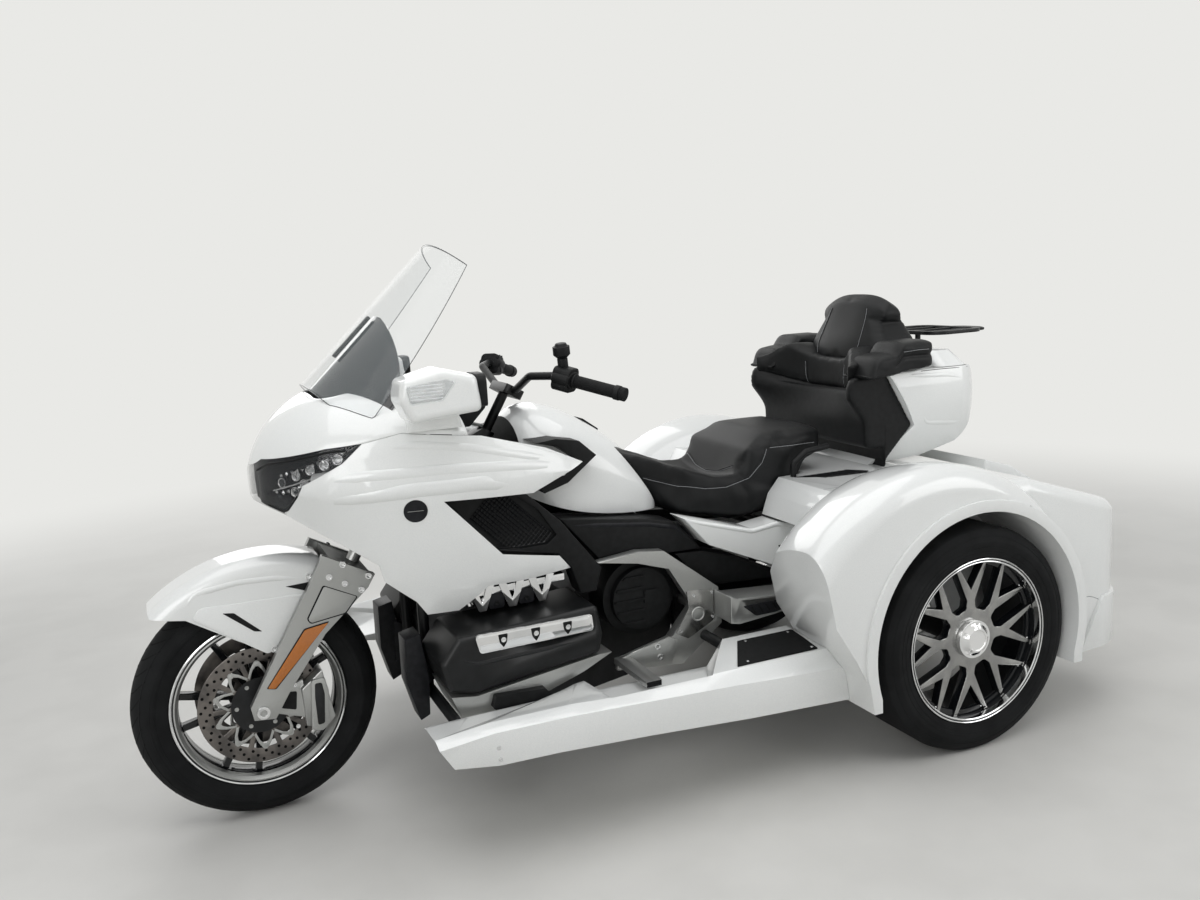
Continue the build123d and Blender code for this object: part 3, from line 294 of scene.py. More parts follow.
def modify(piece, kind, **settings):
    """Adds a modifier to a piece and applies it."""
    take(piece)
    step = piece.modifiers.new("step", kind)
    for name, value in settings.items():
        setattr(step, name, value)
    bpy.ops.object.modifier_apply(modifier=step.name)


def finish(piece, material, body="chassis", round_off=0.0, both=False, flat=35):
    """Ends a piece: rounded edges, its place in its mesh, a copy across the vehicle, finish and body."""
    take(piece)
    bpy.ops.object.transform_apply(location=True, rotation=True, scale=True)
    if round_off:
        modify(piece, "BEVEL", width=round_off * MM, segments=2, limit_method="ANGLE",
               angle_limit=math.radians(flat))
    if both:
        modify(piece, "MIRROR", use_axis=(False, True, False), use_mirror_merge=False)
    take(piece)
    bpy.ops.object.shade_smooth_by_angle(angle=math.radians(flat))
    piece.data.materials.clear()
    piece.data.materials.append(material)
    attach(piece, body)
    return piece


def plate(name, corners, start, end, material, body="chassis", along="Y", corner=0, round_off=0.6,
          both=False):
    """A plate: a filled circle moved to an outline in the view along an axis, and extruded."""
    piece = begin(name, bpy.ops.mesh.primitive_circle_add, vertices=len(corners), fill_type="NGON")
    level = "XYZ".index(along)
    across, up = [axis for axis in range(3) if axis != level]
    for vert, spot in zip(verts(piece), corners):
        vert.co[across], vert.co[up], vert.co[level] = spot[0] * MM, spot[1] * MM, start * MM
    select_all()
    if corner:
        bpy.ops.mesh.bevel(offset=corner * MM, segments=4, affect="VERTICES")
        select_all()
    step = [0, 0, 0]
    step[level] = end - start
    extrude(*step)
    outward(piece)
    return finish(piece, material, body, round_off, both)


def turned(name, centre, profile, material, body, steps=72, side=1, both=False):
    """A turned ring or knob: a circle moved to a closed profile of (radius, along Y), spun about its axis."""
    piece = begin(name, bpy.ops.mesh.primitive_circle_add, vertices=len(profile))
    for vert, (radius, along) in zip(verts(piece), profile):
        vert.co = Vector((centre[0] + radius, side * along, centre[1])) * MM
    select_all()
    bpy.ops.mesh.spin(steps=steps, angle=math.tau, center=(centre[0] * MM, 0, centre[1] * MM),
                      axis=(0, 1, 0))
    outward(piece)
    return finish(piece, material, body, 0, both, flat=28)


def repeat(piece, name, places, material, body="chassis", round_off=0.0):
    """Finishes a shape, copies it by a list of matrices, each copy with its own mesh, and joins them."""
    finish(piece, material, body, round_off)
    copies = []
    for place in places:
        shape = piece.data.copy()
        shape.transform(place)
        if place.determinant() < 0:
            shape.flip_normals()
        copies.append(bpy.data.objects.new(name, shape))
        bpy.context.scene.collection.objects.link(copies[-1])
    bpy.data.objects.remove(piece)
    nothing_selected()
    for copy in copies:
        copy.select_set(True)
    bpy.context.view_layer.objects.active = copies[0]
    if len(copies) > 1:
        bpy.ops.object.join()
    copies[0].name = name
    return finish(copies[0], material, body)


def around(centre, turns, start=0.0):
    """Matrices that turn a shape about a wheel's axis in even steps."""
    hub = Matrix.Translation((centre[0] * MM, 0, centre[1] * MM))
    return [hub @ Matrix.Rotation(start + math.tau * step / turns, 4, "Y") for step in range(turns)]


def copied(node, name):
    """A copy of a CAD node without its modifiers and its marks, opened in edit mode."""
    take(frame["nodes"][node])
    bpy.ops.object.duplicate(linked=False)
    piece = bpy.context.object
    piece.name = name
    for step in list(piece.modifiers):
        piece.modifiers.remove(step)
    for key in [key for key in piece.keys() if key.startswith("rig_")]:
        del piece[key]
    bpy.ops.object.mode_set(mode="EDIT")
    return piece


def tube(name, spots, size, resolution, radii=None):
    """A smooth tube through places, with its radius in millimetres and its share of it at each place."""
    line = bpy.data.curves.new(name, "CURVE")
    line.dimensions = "3D"
    line.bevel_depth = size * MM
    line.bevel_resolution = resolution
    line.use_fill_caps = bool(radii)
    spline = line.splines.new("NURBS")
    spline.points.add(len(spots) - 1)
    for point, spot, radius in zip(spline.points, spots, radii or [1] * len(spots)):
        point.co = (*spot, 1)
        point.radius = radius
    spline.order_u = 3
    spline.use_endpoint_u = True
    piece = bpy.data.objects.new(name, line)
    bpy.context.scene.collection.objects.link(piece)
    take(piece)
    bpy.ops.object.convert(target="MESH")
    return piece


def facing(place, way=(0, 1, 0)):
    """A matrix that sets a shape's own Z along a direction at a place in millimetres."""
    turn = Vector(way).to_track_quat("Z", "X").to_matrix().to_4x4()
    return Matrix.Translation(Vector(place) * MM) @ turn


def both_ways(places, way=(0, 1, 0)):
    """Matrices for places on the left side and their twins on the right."""
    left = [facing(place, way) for place in places]
    right = [facing((x, -y, z), (way[0], -way[1], way[2])) for x, y, z in places]
    return left + right


def socket_bolts(name, radius, places, material, body="chassis", way=(0, 1, 0), height=None):
    """Socket-head bolts: a short bevelled drum with a sunk hexagon."""
    height = height or radius * 0.8
    piece = drum(name, 18, radius, height)
    inset(piece, top, radius * 0.16)
    bpy.ops.mesh.inset(thickness=radius * 0.32 * MM)
    extrude(z=-height * 0.6)
    repeat(piece, name, both_ways(places, way), material, body, radius * 0.08)


def on_skin(node, x, z, side=1):
    """Where a CAD node's outer skin is in the side view, in millimetres, and which way it faces there."""
    aim = Vector((x, side * 1200, z)) * MM
    place, way = frame["nodes"][node].ray_cast(aim, Vector((0, -side, 0)))[1:3]
    return place / MM, way


def sunk(node, spots, depth):
    """Matrices that face out of a CAD node's skin at places on both sides, below it by a depth."""
    found = [on_skin(node, x, z, side) for x, z in spots for side in (1, -1)]
    return [facing(place - way * depth, way) for place, way in found if place.length > 1]


def two_toned(node, second, test, first=None):
    """Gives the faces of a CAD node that pass a test a second finish."""
    shape = frame["nodes"][node].data
    if first:
        shape.materials[0] = first
    shape.materials.append(second)
    for face in shape.polygons:
        face.material_index = int(test(face))


# Wheels

def rear_wheel_trim(side, word):
    """Lip rings, rivets, machined arm faces and the cap of one rear wheel."""
    body = f"rear_wheel_{word}"

    def ring(name, profile, material):
        outline = [(radius, REAR_WHEEL_Y + along) for radius, along in profile]
        turned(f"{name}_{word}", REAR_AXLE, outline, material, body, 96, side)

    ring("rim_bead", [(239, 108), (239, 113), (237, 114.5), (235, 113), (234.6, 110)], POLISHED)
    ring("rim_band", [(235, 110), (235, 111.2), (230.5, 111), (230.5, 109)], GLOSS_BLACK)
    ring("rim_step", [(231, 109), (231, 112), (229, 113), (226.6, 111), (226, 98), (227, 90), (229, 90)],
         POLISHED)
    ring("barrel_step", [(229, 70), (229, 76), (214, 73), (212, 68), (214, 60), (228, 60)], GLOSS_BLACK)

    rivet = begin("rivet", bpy.ops.mesh.primitive_uv_sphere_add, segments=12, ring_count=6, radius=3.6 * MM)
    select_all()
    scale(1, 0.7, 1)
    bpy.ops.transform.translate(value=(220 * MM, side * (REAR_WHEEL_Y + 75) * MM, 0))
    repeat(rivet, f"rim_rivets_{word}", around(REAR_AXLE, 16, math.radians(11.25)), POLISHED, body)

    cap = begin(f"wheel_cap_{word}", bpy.ops.mesh.primitive_cylinder_add, vertices=20, radius=56 * MM,
                depth=16 * MM,
                location=Vector((REAR_AXLE[0], side * (REAR_WHEEL_Y + 88), REAR_AXLE[1])) * MM,
                rotation=(math.radians(-90 * side), 0, 0))
    inset(cap, top, 8)
    extrude(y=side * 12)
    scale(0.72, 0.72, 0.72)
    bpy.ops.mesh.inset(thickness=5 * MM)
    extrude(y=-side * 3)

    def scallop(face):
        place = face.calc_center_median()
        turn = math.degrees(math.atan2(place.y, place.x)) % 72
        return 0.008 < place.z < 0.018 and 30 < turn < 60

    pick(cap, "faces", scallop)
    bpy.ops.mesh.inset(thickness=3 * MM)
    scale(0.86, 0.98, 0.86)
    modify(cap, "BEVEL", width=1.6 * MM, segments=2, limit_method="ANGLE", angle_limit=math.radians(25))
    modify(cap, "SUBSURF", levels=1, render_levels=1)
    finish(cap, CHROME, body, flat=50)

    def arm_face(face):
        return abs(face.normal.y) > 0.9 and abs(face.center.y) > (REAR_WHEEL_Y + 70) * MM

    two_toned(f"rear_rim_{word}", MACHINED, arm_face, GLOSS_BLACK)


rear_wheel_trim(1, "left")
rear_wheel_trim(-1, "right")


def front_wheel_trim():
    """Lip rings, disc carrier, dark discs of painted shade for the drilled holes, and hub of the front wheel.
    """
    turned("front_rim_bead", FRONT_AXLE, [(228, 50), (228, 55), (225, 57), (222, 55.5), (221, 51)],
           POLISHED, "front_wheel", 96, both=True)
    turned("front_rim_band", FRONT_AXLE, [(222, 51), (222, 53.4), (217, 53), (217, 50)], GLOSS_BLACK,
           "front_wheel", 96, both=True)
    turned("front_rim_flange", FRONT_AXLE,
           [(217.5, 50), (217.5, 54), (214, 55), (206, 46), (204, 30), (208, 26)],
           SILVER, "front_wheel", 96, both=True)
    turned("disc_hub", FRONT_AXLE, [(76, 66), (76, 67.7), (26, 67.7), (26, 66)], CASTING, "front_wheel",
           both=True)

    # The drilled holes are shallow dark discs on the disc's faces: painted shade, not openings
    hole = drum("hole", 12, 4, 1.6)
    inset(hole, top, 0.6)
    extrude(z=-0.4)
    rows = []
    for side in (1, -1):
        for radius, start in ((129, 0), (140, 6), (151, 12)):
            for turn in around(FRONT_AXLE, 24, math.radians(start)):
                rows.append(turn @ facing((radius, side * 67, 0), (0, side, 0)))
    repeat(hole, "disc_hole_shades", rows, PAINTED_SHADE_BLACK, "front_wheel")

    wave = [(80, -26), (104, -17), (120, -7), (120, 7), (104, 17), (80, 26), (75, 21), (98, 12), (112, 0),
            (98, -12), (75, -21)]
    arm = plate("arm", wave, 66.5, 68.1, SILVER, "front_wheel", round_off=0.4)
    turns = around(FRONT_AXLE, 10, math.radians(18))
    turns += [turn @ Matrix.Scale(-1, 4, (0, 1, 0)) for turn in turns]
    repeat(arm, "disc_carrier", turns, SILVER, "front_wheel")

    button = drum("button", 16, 8, 1.2)
    inset(button, top, 2.4)
    extrude(z=-0.5)
    spots = [turn @ facing((116, side * 67.8, 0), (0, side, 0)) for side in (1, -1)
             for turn in around(FRONT_AXLE, 10, math.radians(18))]
    spots += [turn @ facing((62, side * 67.9, 0), (0, side, 0)) @ Matrix.Scale(0.7, 4) for side in (1, -1)
              for turn in around(FRONT_AXLE, 6)]
    repeat(button, "disc_buttons", spots, SILVER, "front_wheel", 0.2)


front_wheel_trim()

# Fork, front fender and calipers

socket_bolts("fork_bolts", 9, [(871, 121, 680), (909, 121, 652), (870, 121, 628), (828, 121, 604),
                               (806, 121, 639)], POLISHED, "steering")
# Plates on both sides of the fork, fender and calipers:
# outline in the side view, start and end in Y, finish, corner radius and edge radius
STEERING_PLATES = (
    ("fork_recess_line", [(927, 633), (838, 587), (874, 545), (968, 533), (977, 548)], 119, 120.3,
     ABS_BLACK, 6, 0),
    ("fork_recess", [(924, 629), (842, 587), (876, 548), (966, 536), (973, 547)], 119, 120.9, SILVER, 5,
     0.6),
    ("fork_reflector_frame", [(919, 533), (986, 524), (1096, 380), (1072, 374)], 119, 121.6, ABS_BLACK, 4,
     0.6),
    ("fork_reflectors", [(922, 530), (984, 521), (1093, 381), (1074, 377)], 119, 124, AMBER, 4, 1.2),
    ("fender_wings", [(1236, 616), (962, 611), (1037, 497), (1078, 462), (1256, 590)], 88, 93, WHITE, 10,
     2.4),
    ("fender_slots", [(1181, 594), (1153, 590), (1088, 528), (1108, 532)], 92, 93.5, ABS_BLACK, 3, 0),
    ("fender_slits", [(1018, 637), (948, 640), (950, 618), (964, 616)], 89, 90.8, ABS_BLACK, 2, 0),
    ("caliper_windows", [(1046, 352), (1018, 349), (1024, 298), (1062, 310), (1067, 334)], 94, 96.5,
     ABS_BLACK, 5, 0),
    ("caliper_bodies", [(982, 378), (946, 380), (938, 340), (946, 248), (962, 232), (992, 240)], 100, 118,
     SILVER, 8, 3),
    ("caliper_ribs", [(973, 368), (955, 368), (950, 336), (957, 254), (975, 252), (976, 330)], 117, 121,
     CASTING, 5, 1.2),
)
for name, corners, start, end, material, corner, edge in STEERING_PLATES:
    plate(name, corners, start, end, material, "steering", corner=corner, round_off=edge, both=True)
socket_bolts("axle_nuts", 17, [(1110, 128, 320)], POLISHED, "steering", height=12)
socket_bolts("fender_bolts", 9, [(957, 91, 655), (1062, 91, 474)], POLISHED, "steering", height=5)
socket_bolts("caliper_bolts", 6, [(1024, 97, 252), (1043, 97, 366), (1022, 97, 368), (986, 112, 246),
                                  (950, 112, 372)], POLISHED, "steering")

# Engine side

for x in (345, 435, 525):
    plate(f"trim_pocket_{x}", [(x - 13, 500), (x + 13, 500), (x + 10, 478), (x, 464), (x - 10, 478)], 380.5,
          382.4, ABS_BLACK, corner=3, round_off=0, both=True)
socket_bolts("trim_bolts", 7, [(x, 384, 486) for x in (345, 435, 525)], POLISHED, height=4)
# Plates on both sides of the engine, side plates, seat covers and mirrors:
# outline in the side view, start and end in Y, finish, corner radius and edge radius
CHASSIS_PLATES = (
    ("trim_band", [(596, 504), (278, 504), (274, 466), (585, 462)], 380, 381.2, CHROME, 9, 1.4),
    ("lug_faces", [(118, 342), (168, 330), (168, 303), (2, 290), (-17, 350), (8, 364)], 300, 303, SILVER, 7,
     1.2),
    ("cover_slots", [(-374, 577), (-415, 565), (-434, 512), (-404, 520)], 289, 290.6, ABS_BLACK, 4, 0),
    ("plate_insets", [(-64, 488), (-150, 481), (-150, 386), (-64, 344), (-24, 366), (-68, 434)], 285.6,
     286.6, MACHINED, 5, 0.3),
    ("step_pads", [(-190, 446), (-380, 446), (-394, 430), (-300, 410), (-232, 410)], 384.4, 387, ABS_GREY,
     6, 1),
    ("turn_lens_backs", [(738, 1165), (640, 1175), (618, 1168), (652, 1128), (730, 1124)], 443, 445.6,
     POLISHED, 6, 0.6),
    ("turn_lenses", [(740, 1167), (640, 1177), (614, 1169), (650, 1125), (732, 1121)], 447, 449, CLEAR, 6,
     0.6),
)
for name, corners, start, end, material, corner, edge in CHASSIS_PLATES:
    plate(name, corners, start, end, material, corner=corner, round_off=edge, both=True)
for x in (412, 497):
    plate(f"runner_pocket_{x}", [(x - 24, 572), (x + 24, 572), (x + 21, 530), (x - 21, 530)], 255, 259,
          ABS_GREY, corner=7, round_off=1, both=True)
socket_bolts("runner_bolts", 7, [(412, 260, 545), (497, 260, 545)], ABS_BLACK, height=4)
socket_bolts("plate_bolts", 5, [(-86, 287, 470), (-146, 287, 470), (-146, 287, 396), (-40, 287, 371)],
             POLISHED, height=3)
turned("plate_caps", (-98, 412), [(0.1, 280), (22, 280), (22, 287), (19, 289), (16, 287.4), (12, 288),
                                  (0.1, 288.6)], SILVER, "chassis", 40, both=True)
socket_bolts("lug_bolts", 9, [(46, 303, 346), (38, 303, 314)], POLISHED)
socket_bolts("pad_screws", 5, [(-160, 444, 366), (-300, 444, 366), (-296, 566, 361), (-92, 566, 361)],
             POLISHED, way=(0, 0, 1), height=3)
screw_spots = [on_skin("running_boards", x, z)[0] for x, z in ((630, 312), (628, 282))]
socket_bolts("board_screws", 5, screw_spots, POLISHED, height=4)
socket_bolts("cover_screws", 6, [(-467, 291, 540), (-482, 291, 492)], ABS_BLACK, height=3)


# Second finishes on the CAD solids: guard pads, inside of the rim, front of the tank cover, peg tips

def inner_rim(face):
    """Whether a face of the front rim lies inside its lip."""
    reach = math.hypot(face.center.x - FRONT_AXLE[0] * MM, face.center.z - FRONT_AXLE[1] * MM)
    return reach < 212 * MM


frame["nodes"]["head_covers"].data.materials[0] = ENAMEL
frame["nodes"]["radiator_cowls"].data.materials[0] = ABS_GREY
two_toned("head_guards", ABS_BLACK, lambda face: abs(face.center.y) > 364.2 * MM)
two_toned("front_rim", GLOSS_BLACK, inner_rim)
two_toned("tank_cover", ABS_BLACK, lambda face: face.normal.x > 0.8 and face.center.x > 0.25)
peg_tip = max(abs(vert.co.y) for vert in frame["nodes"]["foot_pegs"].data.vertices) - 62 * MM
two_toned("foot_pegs", GRIP, lambda face: abs(face.center.y) > peg_tip)


# Ribbed steps on the silver side plates; their darker inset is among the chassis plates above

for step in range(7):
    x = -214 - 24 * step
    plate(f"step_pad_ribs_{step}", [(x, 442), (x - 7, 442), (x - 19, 418), (x - 12, 418)], 386, 389.6,
          ABS_BLACK, round_off=0.6, both=True)


# Lines and ridges that follow the bodywork

# The spacing of the places in a line, and where lines drawn from the left start in Y
LINE_STEP = 25
SIDE_START = 700


def drawn_on(name, node, route, size, proud, material, body="chassis", way=(0, -1, 0), taper=0.75):
    """A tube sunk into a CAD node along a route, from a direction, so that only its top shows.

    A route of two numbers a place is one in the side view, laid from the left.
    """
    way = Vector(way).normalized()
    route = [Vector(spot if len(spot) > 2 else (spot[0], SIDE_START, spot[1])) for spot in route]
    spots = []
    for start, end in zip(route, route[1:]):
        parts = max(1, round((end - start).length / LINE_STEP))
        for part in range(parts + (end == route[-1])):
            found, place, out = frame["nodes"][node].ray_cast(start.lerp(end, part / parts) * MM, way)[:3]
            if found:
                spots.append(place + out * (proud - size) * MM)
    last = len(spots) - 1
    radii = [min(1, taper + min(index, last - index) * (1 - taper) / 4) for index in range(last + 1)]
    finish(tube(name, spots, size, 3, radii), material, body, both=True, flat=60)


drawn_on("fairing_high_crease", "side_fairings", [(810, 1008), (686, 1006), (557, 985), (422, 950),
         (300, 922)], 24, 3.2, WHITE)
drawn_on("fairing_middle_crease", "side_fairings", [(975, 928), (824, 940), (631, 940), (428, 924),
         (290, 908)], 30, 4.2, WHITE)
drawn_on("fairing_low_crease", "side_fairings", [(1000, 868), (891, 883), (701, 892), (534, 889),
         (420, 868)], 30, 4.2, WHITE)
drawn_on("fender_crease", "front_fender", [(1290, 600), (1240, 655), (1133, 668), (1044, 664),
         (950, 648)], 12, 2.6, WHITE, "steering")
drawn_on("side_cover_edge", "seat_side_covers", [(-75, 692), (-287, 630), (-374, 640), (-482, 610)], 9, 2.6,
         WHITE)
drawn_on("side_panel_crease", "side_panels", [(270, 722), (28, 690), (-60, 668), (-120, 606)], 10, 2.4,
         ABS_GREY)
drawn_on("cover_low_crease", "head_covers", [(655, 455), (590, 430), (300, 436)], 10, 2, GLOSS_BLACK)


# Headlamps: cells behind the smoked lens

def lamp_cells():
    """Reflector bowls with clear domes, and two rows of small facets, set below the lamps' skin."""
    bowl = drum("bowl", 20, 13, 7)
    inset(bowl, top, 1.6)
    extrude(z=-5)
    scale(0.55, 0.55, 1)
    eye = begin("eye", bpy.ops.mesh.primitive_uv_sphere_add, segments=20, ring_count=10, radius=8.5 * MM)
    pick(eye, "faces", lambda face: face.calc_center_median().z < -0.001)
    bpy.ops.mesh.delete(type="FACE")
    select_all()
    scale(1, 1, 0.7)
    modify(eye, "SOLIDIFY", thickness=0.8 * MM)
    crystal = drum("crystal", 4, 6, 3)
    pick(crystal, "faces", top)
    extrude(z=4)
    scale(0.25, 0.25, 1)
    facets = []
    for step in range(13):
        pair = ((872 + 12 * step, 1000 - 4.6 * step), (884 + 12 * step, 956 - 5 * step))
        facets += [place @ Matrix.Rotation(step, 4, "Z") for place in sunk("headlamps", pair, 13)]
    repeat(crystal, "lamp_crystals", facets, POLISHED)
    cells = [(885, 985), (918, 972), (951, 960), (984, 945), (1017, 926), (968, 925), (990, 905),
             (1022, 884)]
    repeat(bowl, "lamp_bowls", sunk("headlamps", cells, 15), CHROME, round_off=0.3)
    repeat(eye, "lamp_eyes", sunk("headlamps", cells, 14), CLEAR)


lamp_cells()
drawn_on("lamp_light_guides", "headlamps", [(880, 962), (960, 935), (1035, 905)], 3, -7, POLISHED)
drawn_on("lamp_upper_frames", "headlamps", [(838, 1006), (905, 1004), (1040, 972), (1076, 935)], 3.4, 1.2,
         ABS_BLACK, taper=1)
drawn_on("lamp_lower_frames", "headlamps", [(842, 1002), (880, 968), (968, 918), (1004, 846), (1040, 862)],
         3.4, 1.2, ABS_BLACK, taper=1)


# Mirrors

for z in range(1132, 1168, 8):
    plate(f"turn_lens_rib_{z}", [(728, z), (650, z), (650, z + 2.5), (728, z + 2.5)], 445, 447.2, LED_WHITE,
          round_off=0.3, both=True)
plate("mirror_backs", [(338, 1096), (338, 1172), (352, 1180), (420, 1180), (434, 1168), (434, 1100)], 560,
      536, ABS_BLACK, along="X", corner=10, round_off=5, both=True)
plate("mirror_glasses", [(346, 1103), (346, 1170), (424, 1172), (428, 1106)], 537, 535, MIRROR_GLASS,
      along="X", corner=9, both=True)


# Air ducts

def duct_mesh():
    """A diagonal wire mesh across the mouth of each duct, cut to the mouth's outline."""
    mouth = [(604, 834), (496, 710), (430, 694), (354, 694), (327, 712), (375, 787), (433, 834), (500, 845)]
    piece = begin("duct_mesh", bpy.ops.mesh.primitive_grid_add, x_subdivisions=44, y_subdivisions=44,
                  size=0.44)
    bpy.ops.transform.rotate(value=math.radians(45), orient_axis="Z", center_override=(0, 0, 0))
    for vert in verts(piece):
        vert.co = Vector((465 * MM + vert.co.x, 269 * MM, 770 * MM + vert.co.y))
    for (x0, z0), (x1, z1) in zip(mouth, mouth[1:] + mouth[:1]):
        away = Vector((z1 - z0, 0, x0 - x1))
        if away.dot(Vector((465 - x0, 0, 770 - z0))) > 0:
            away = -away
        select_all()
        bpy.ops.mesh.bisect(plane_co=(x0 * MM, 0, z0 * MM), plane_no=away, clear_outer=True)
    modify(piece, "WIREFRAME", thickness=2.2 * MM)
    finish(piece, GLOSS_BLACK, both=True)


duct_mesh()


def fairing_discs():
    """The plain dark disc on the fairing's side, with one thin line across it."""
    disc = drum("disc", 48, 30, 3)
    inset(disc, top, 2)
    extrude(z=-0.8)
    spots = sunk("side_fairings", [(712, 842)], 0.4)
    repeat(disc, "fairing_discs", spots, ABS_GREY, round_off=0.5)
    bar = begin("bar", bpy.ops.mesh.primitive_cube_add, size=1)
    scale(40 * MM, 1.2 * MM, 1 * MM)
    bpy.ops.mesh.bevel(offset=0.3 * MM, segments=2)
    across = Matrix.Translation((0, 0, 1.2 * MM)) @ Matrix.Rotation(math.radians(90), 4, "Z")
    repeat(bar, "fairing_disc_lines", [spot @ across for spot in spots], SILVER)


fairing_discs()


# Screen: dark edge and the vent slider

def edge_of(node, name, size, turn, material):
    """A thin tube along the sharp edges of a CAD node."""
    copied(node, name)
    select_all()
    bpy.ops.mesh.remove_doubles(threshold=0.00005)
    bpy.ops.mesh.select_mode(type="EDGE")
    bpy.ops.mesh.select_all(action="DESELECT")
    bpy.ops.mesh.edges_select_sharp(sharpness=math.radians(turn))
    bpy.ops.mesh.select_all(action="INVERT")
    bpy.ops.mesh.delete(type="EDGE_FACE")
    bpy.ops.object.mode_set(mode="OBJECT")
    bpy.ops.object.convert(target="CURVE")
    piece = bpy.context.object
    piece.data.bevel_depth = size * MM
    piece.data.bevel_resolution = 1
    bpy.ops.object.convert(target="MESH")
    finish(bpy.context.object, material, flat=70)


edge_of("windscreen", "screen_edge", 1.1, 60, SMOKE)
plate("screen_slider", [(826, 1223), (722, 1323), (715, 1316), (819, 1216)], -9, 9, ABS_BLACK, corner=3,
      round_off=1.5)


# Handlebar: clamp and grip ends; the switch pods follow further on

def bar_spot(along, rise=0.0, back=0.0):
    """A place beside the left grip: along the bar from its inner bend, above it and behind it."""
    inner, outer = Vector((302, 282, 1142)), Vector((180, 432, 1096))
    way = (outer - inner).normalized()
    rear = way.cross(Vector((0, 0, 1))).normalized()
    return inner + way * along + Vector((0, 0, rise)) - rear * back, way


for name, along, length in (("grip_collar", 64, 6), ("grip_end_weight", 190, 14)):
    place, way = bar_spot(along)
    collar = drum(name, 32, 19.5, length)
    inset(collar, ends, 3)
    scale(1, 1, 1.15)
    repeat(collar, name + "s", both_ways([place], way), ABS_BLACK, "handlebar", 0.8)

place, way = bar_spot(30, 34)
clamp = drum("bar_clamp", 24, 14, 40)
inset(clamp, top, 2)
extrude(z=10)
scale(1.9, 1.9, 1)
extrude(z=22)
bpy.ops.mesh.inset(thickness=5 * MM)
extrude(z=8)
scale(0.8, 0.8, 1)
repeat(clamp, "bar_clamps", [facing(place, (0.1, 0.1, 1))], ABS_BLACK, "handlebar", 2)


# Screen garnish: a rounded tinted shield behind the screen's foot

def tinted_shield():
    """A bowed sheet that narrows to a round top, and stands for the CAD garnish."""
    shield = begin("tinted_shield", bpy.ops.mesh.primitive_grid_add, x_subdivisions=28, y_subdivisions=28,
                   size=2)
    foot, screen_top, half_width, bow = Vector((925, 0, 1142)), Vector((548, 0, 1504)), 258, 150
    slope = (screen_top - foot).normalized()
    back = Vector((-slope.z, 0, slope.x))
    for vert in verts(shield):
        across, share = vert.co.x, (vert.co.y + 1) / 2
        out = half_width * math.sqrt(max(0.0, 1 - (share * 0.985) ** 2.6)) * across
        place = foot + slope * (22 + 262 * share) + back * (28 + bow * (out / half_width) ** 2)
        vert.co = (place + Vector((0, out, 0))) * MM
    modify(shield, "SOLIDIFY", thickness=4 * MM, offset=0)
    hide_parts("screen_garnish")
    finish(shield, TINTED, flat=50)


tinted_shield()


# Top box and tail: seams, vents, rack

drawn_on("trunk_side_step", "trunk_body", [(-800, 1034), (-860, 1038), (-1005, 1030), (-1110, 1006)], 14,
         2.4, WHITE)
drawn_on("trunk_low_facet", "trunk_body", [(-880, 950), (-930, 884), (-1050, 872), (-1120, 920)], 14, 2.4,
         WHITE)
drawn_on("lid_seam", "trunk_body", [(-905, 1049), (-1000, 1049), (-1095, 1046)], 1.6, 0.5, ABS_BLACK,
         taper=1)
drawn_on("deck_side_seams", "rear_body", [(-440, 430, 900), (-560, 430, 900), (-760, 430, 900),
                                          (-960, 430, 900)], 1.4, 0.5, SEAM_GREY, way=(0, 0, -1), taper=1)
drawn_on("tail_low_seams", "rear_body", [(-1150, 800, 372), (-1230, 800, 368), (-1262, 800, 352)], 1.4, 0.5,
         SEAM_GREY, taper=1)


def laid_on(name, node, corners, lift, wall, material):
    """A four-cornered sheet laid on a node from above, lifted and given its wall, on both sides."""
    near, far, far_out, near_out = (Vector((x, y, 2000)) for x, y in corners)
    sheet = begin(name, bpy.ops.mesh.primitive_grid_add, x_subdivisions=12, y_subdivisions=8, size=2)
    for vert in verts(sheet):
        along, out_share = (vert.co.x + 1) / 2, (vert.co.y + 1) / 2
        aim = near.lerp(far, along).lerp(near_out.lerp(far_out, along), out_share) * MM
        place = frame["nodes"][node].ray_cast(aim, Vector((0, 0, -1)))[1]
        vert.co = place + Vector((0, 0, lift * MM))
    modify(sheet, "SOLIDIFY", thickness=wall * MM, offset=1)
    finish(sheet, material, both=True)


def deck_vents():
    """Black mesh vents laid in the deck beside the seat."""
    laid_on("deck_vent_frames", "rear_body", [(-470, 236), (-668, 240), (-700, 316), (-560, 300)], 0.6, 2.2,
            ABS_BLACK)
    for step in range(7):
        x = -500 - 25 * step
        laid_on(f"deck_vent_rib_{step}", "rear_body",
                [(x, 244), (x - 7, 244), (x - 50, 298), (x - 43, 298)], 2.4, 2, GLOSS_BLACK)


deck_vents()


def rack_deck():
    """Three flat bars and a round end across the rack, with a dark plate of painted shade for the slot in the
    end.
    """
    for y in (-84, 0, 84):
        plate(f"rack_bar_{y + 84}", [(-1086, y - 11), (-1086, y + 11), (-1296, y + 11), (-1296, y - 11)],
              1142, 1149, ABS_BLACK, "trunk_lid", along="Z", corner=4, round_off=1.6)
    plate("rack_tail", [(-1288, -110), (-1288, 110), (-1352, 92), (-1384, 40), (-1384, -40), (-1352, -92)],
          1138, 1146, ABS_BLACK, "trunk_lid", along="Z", corner=12, round_off=2)
    # The slot is a thin dark plate laid on the rack's end: painted shade
    plate("rack_tail_slot_shade", [(-1318, -62), (-1318, 62), (-1352, 48), (-1352, -48)], 1145.5, 1147, PAINTED_SHADE_BLACK,
          "trunk_lid", along="Z", corner=10, round_off=0.4)


rack_deck()


# Dash, tail lamps and rear panel

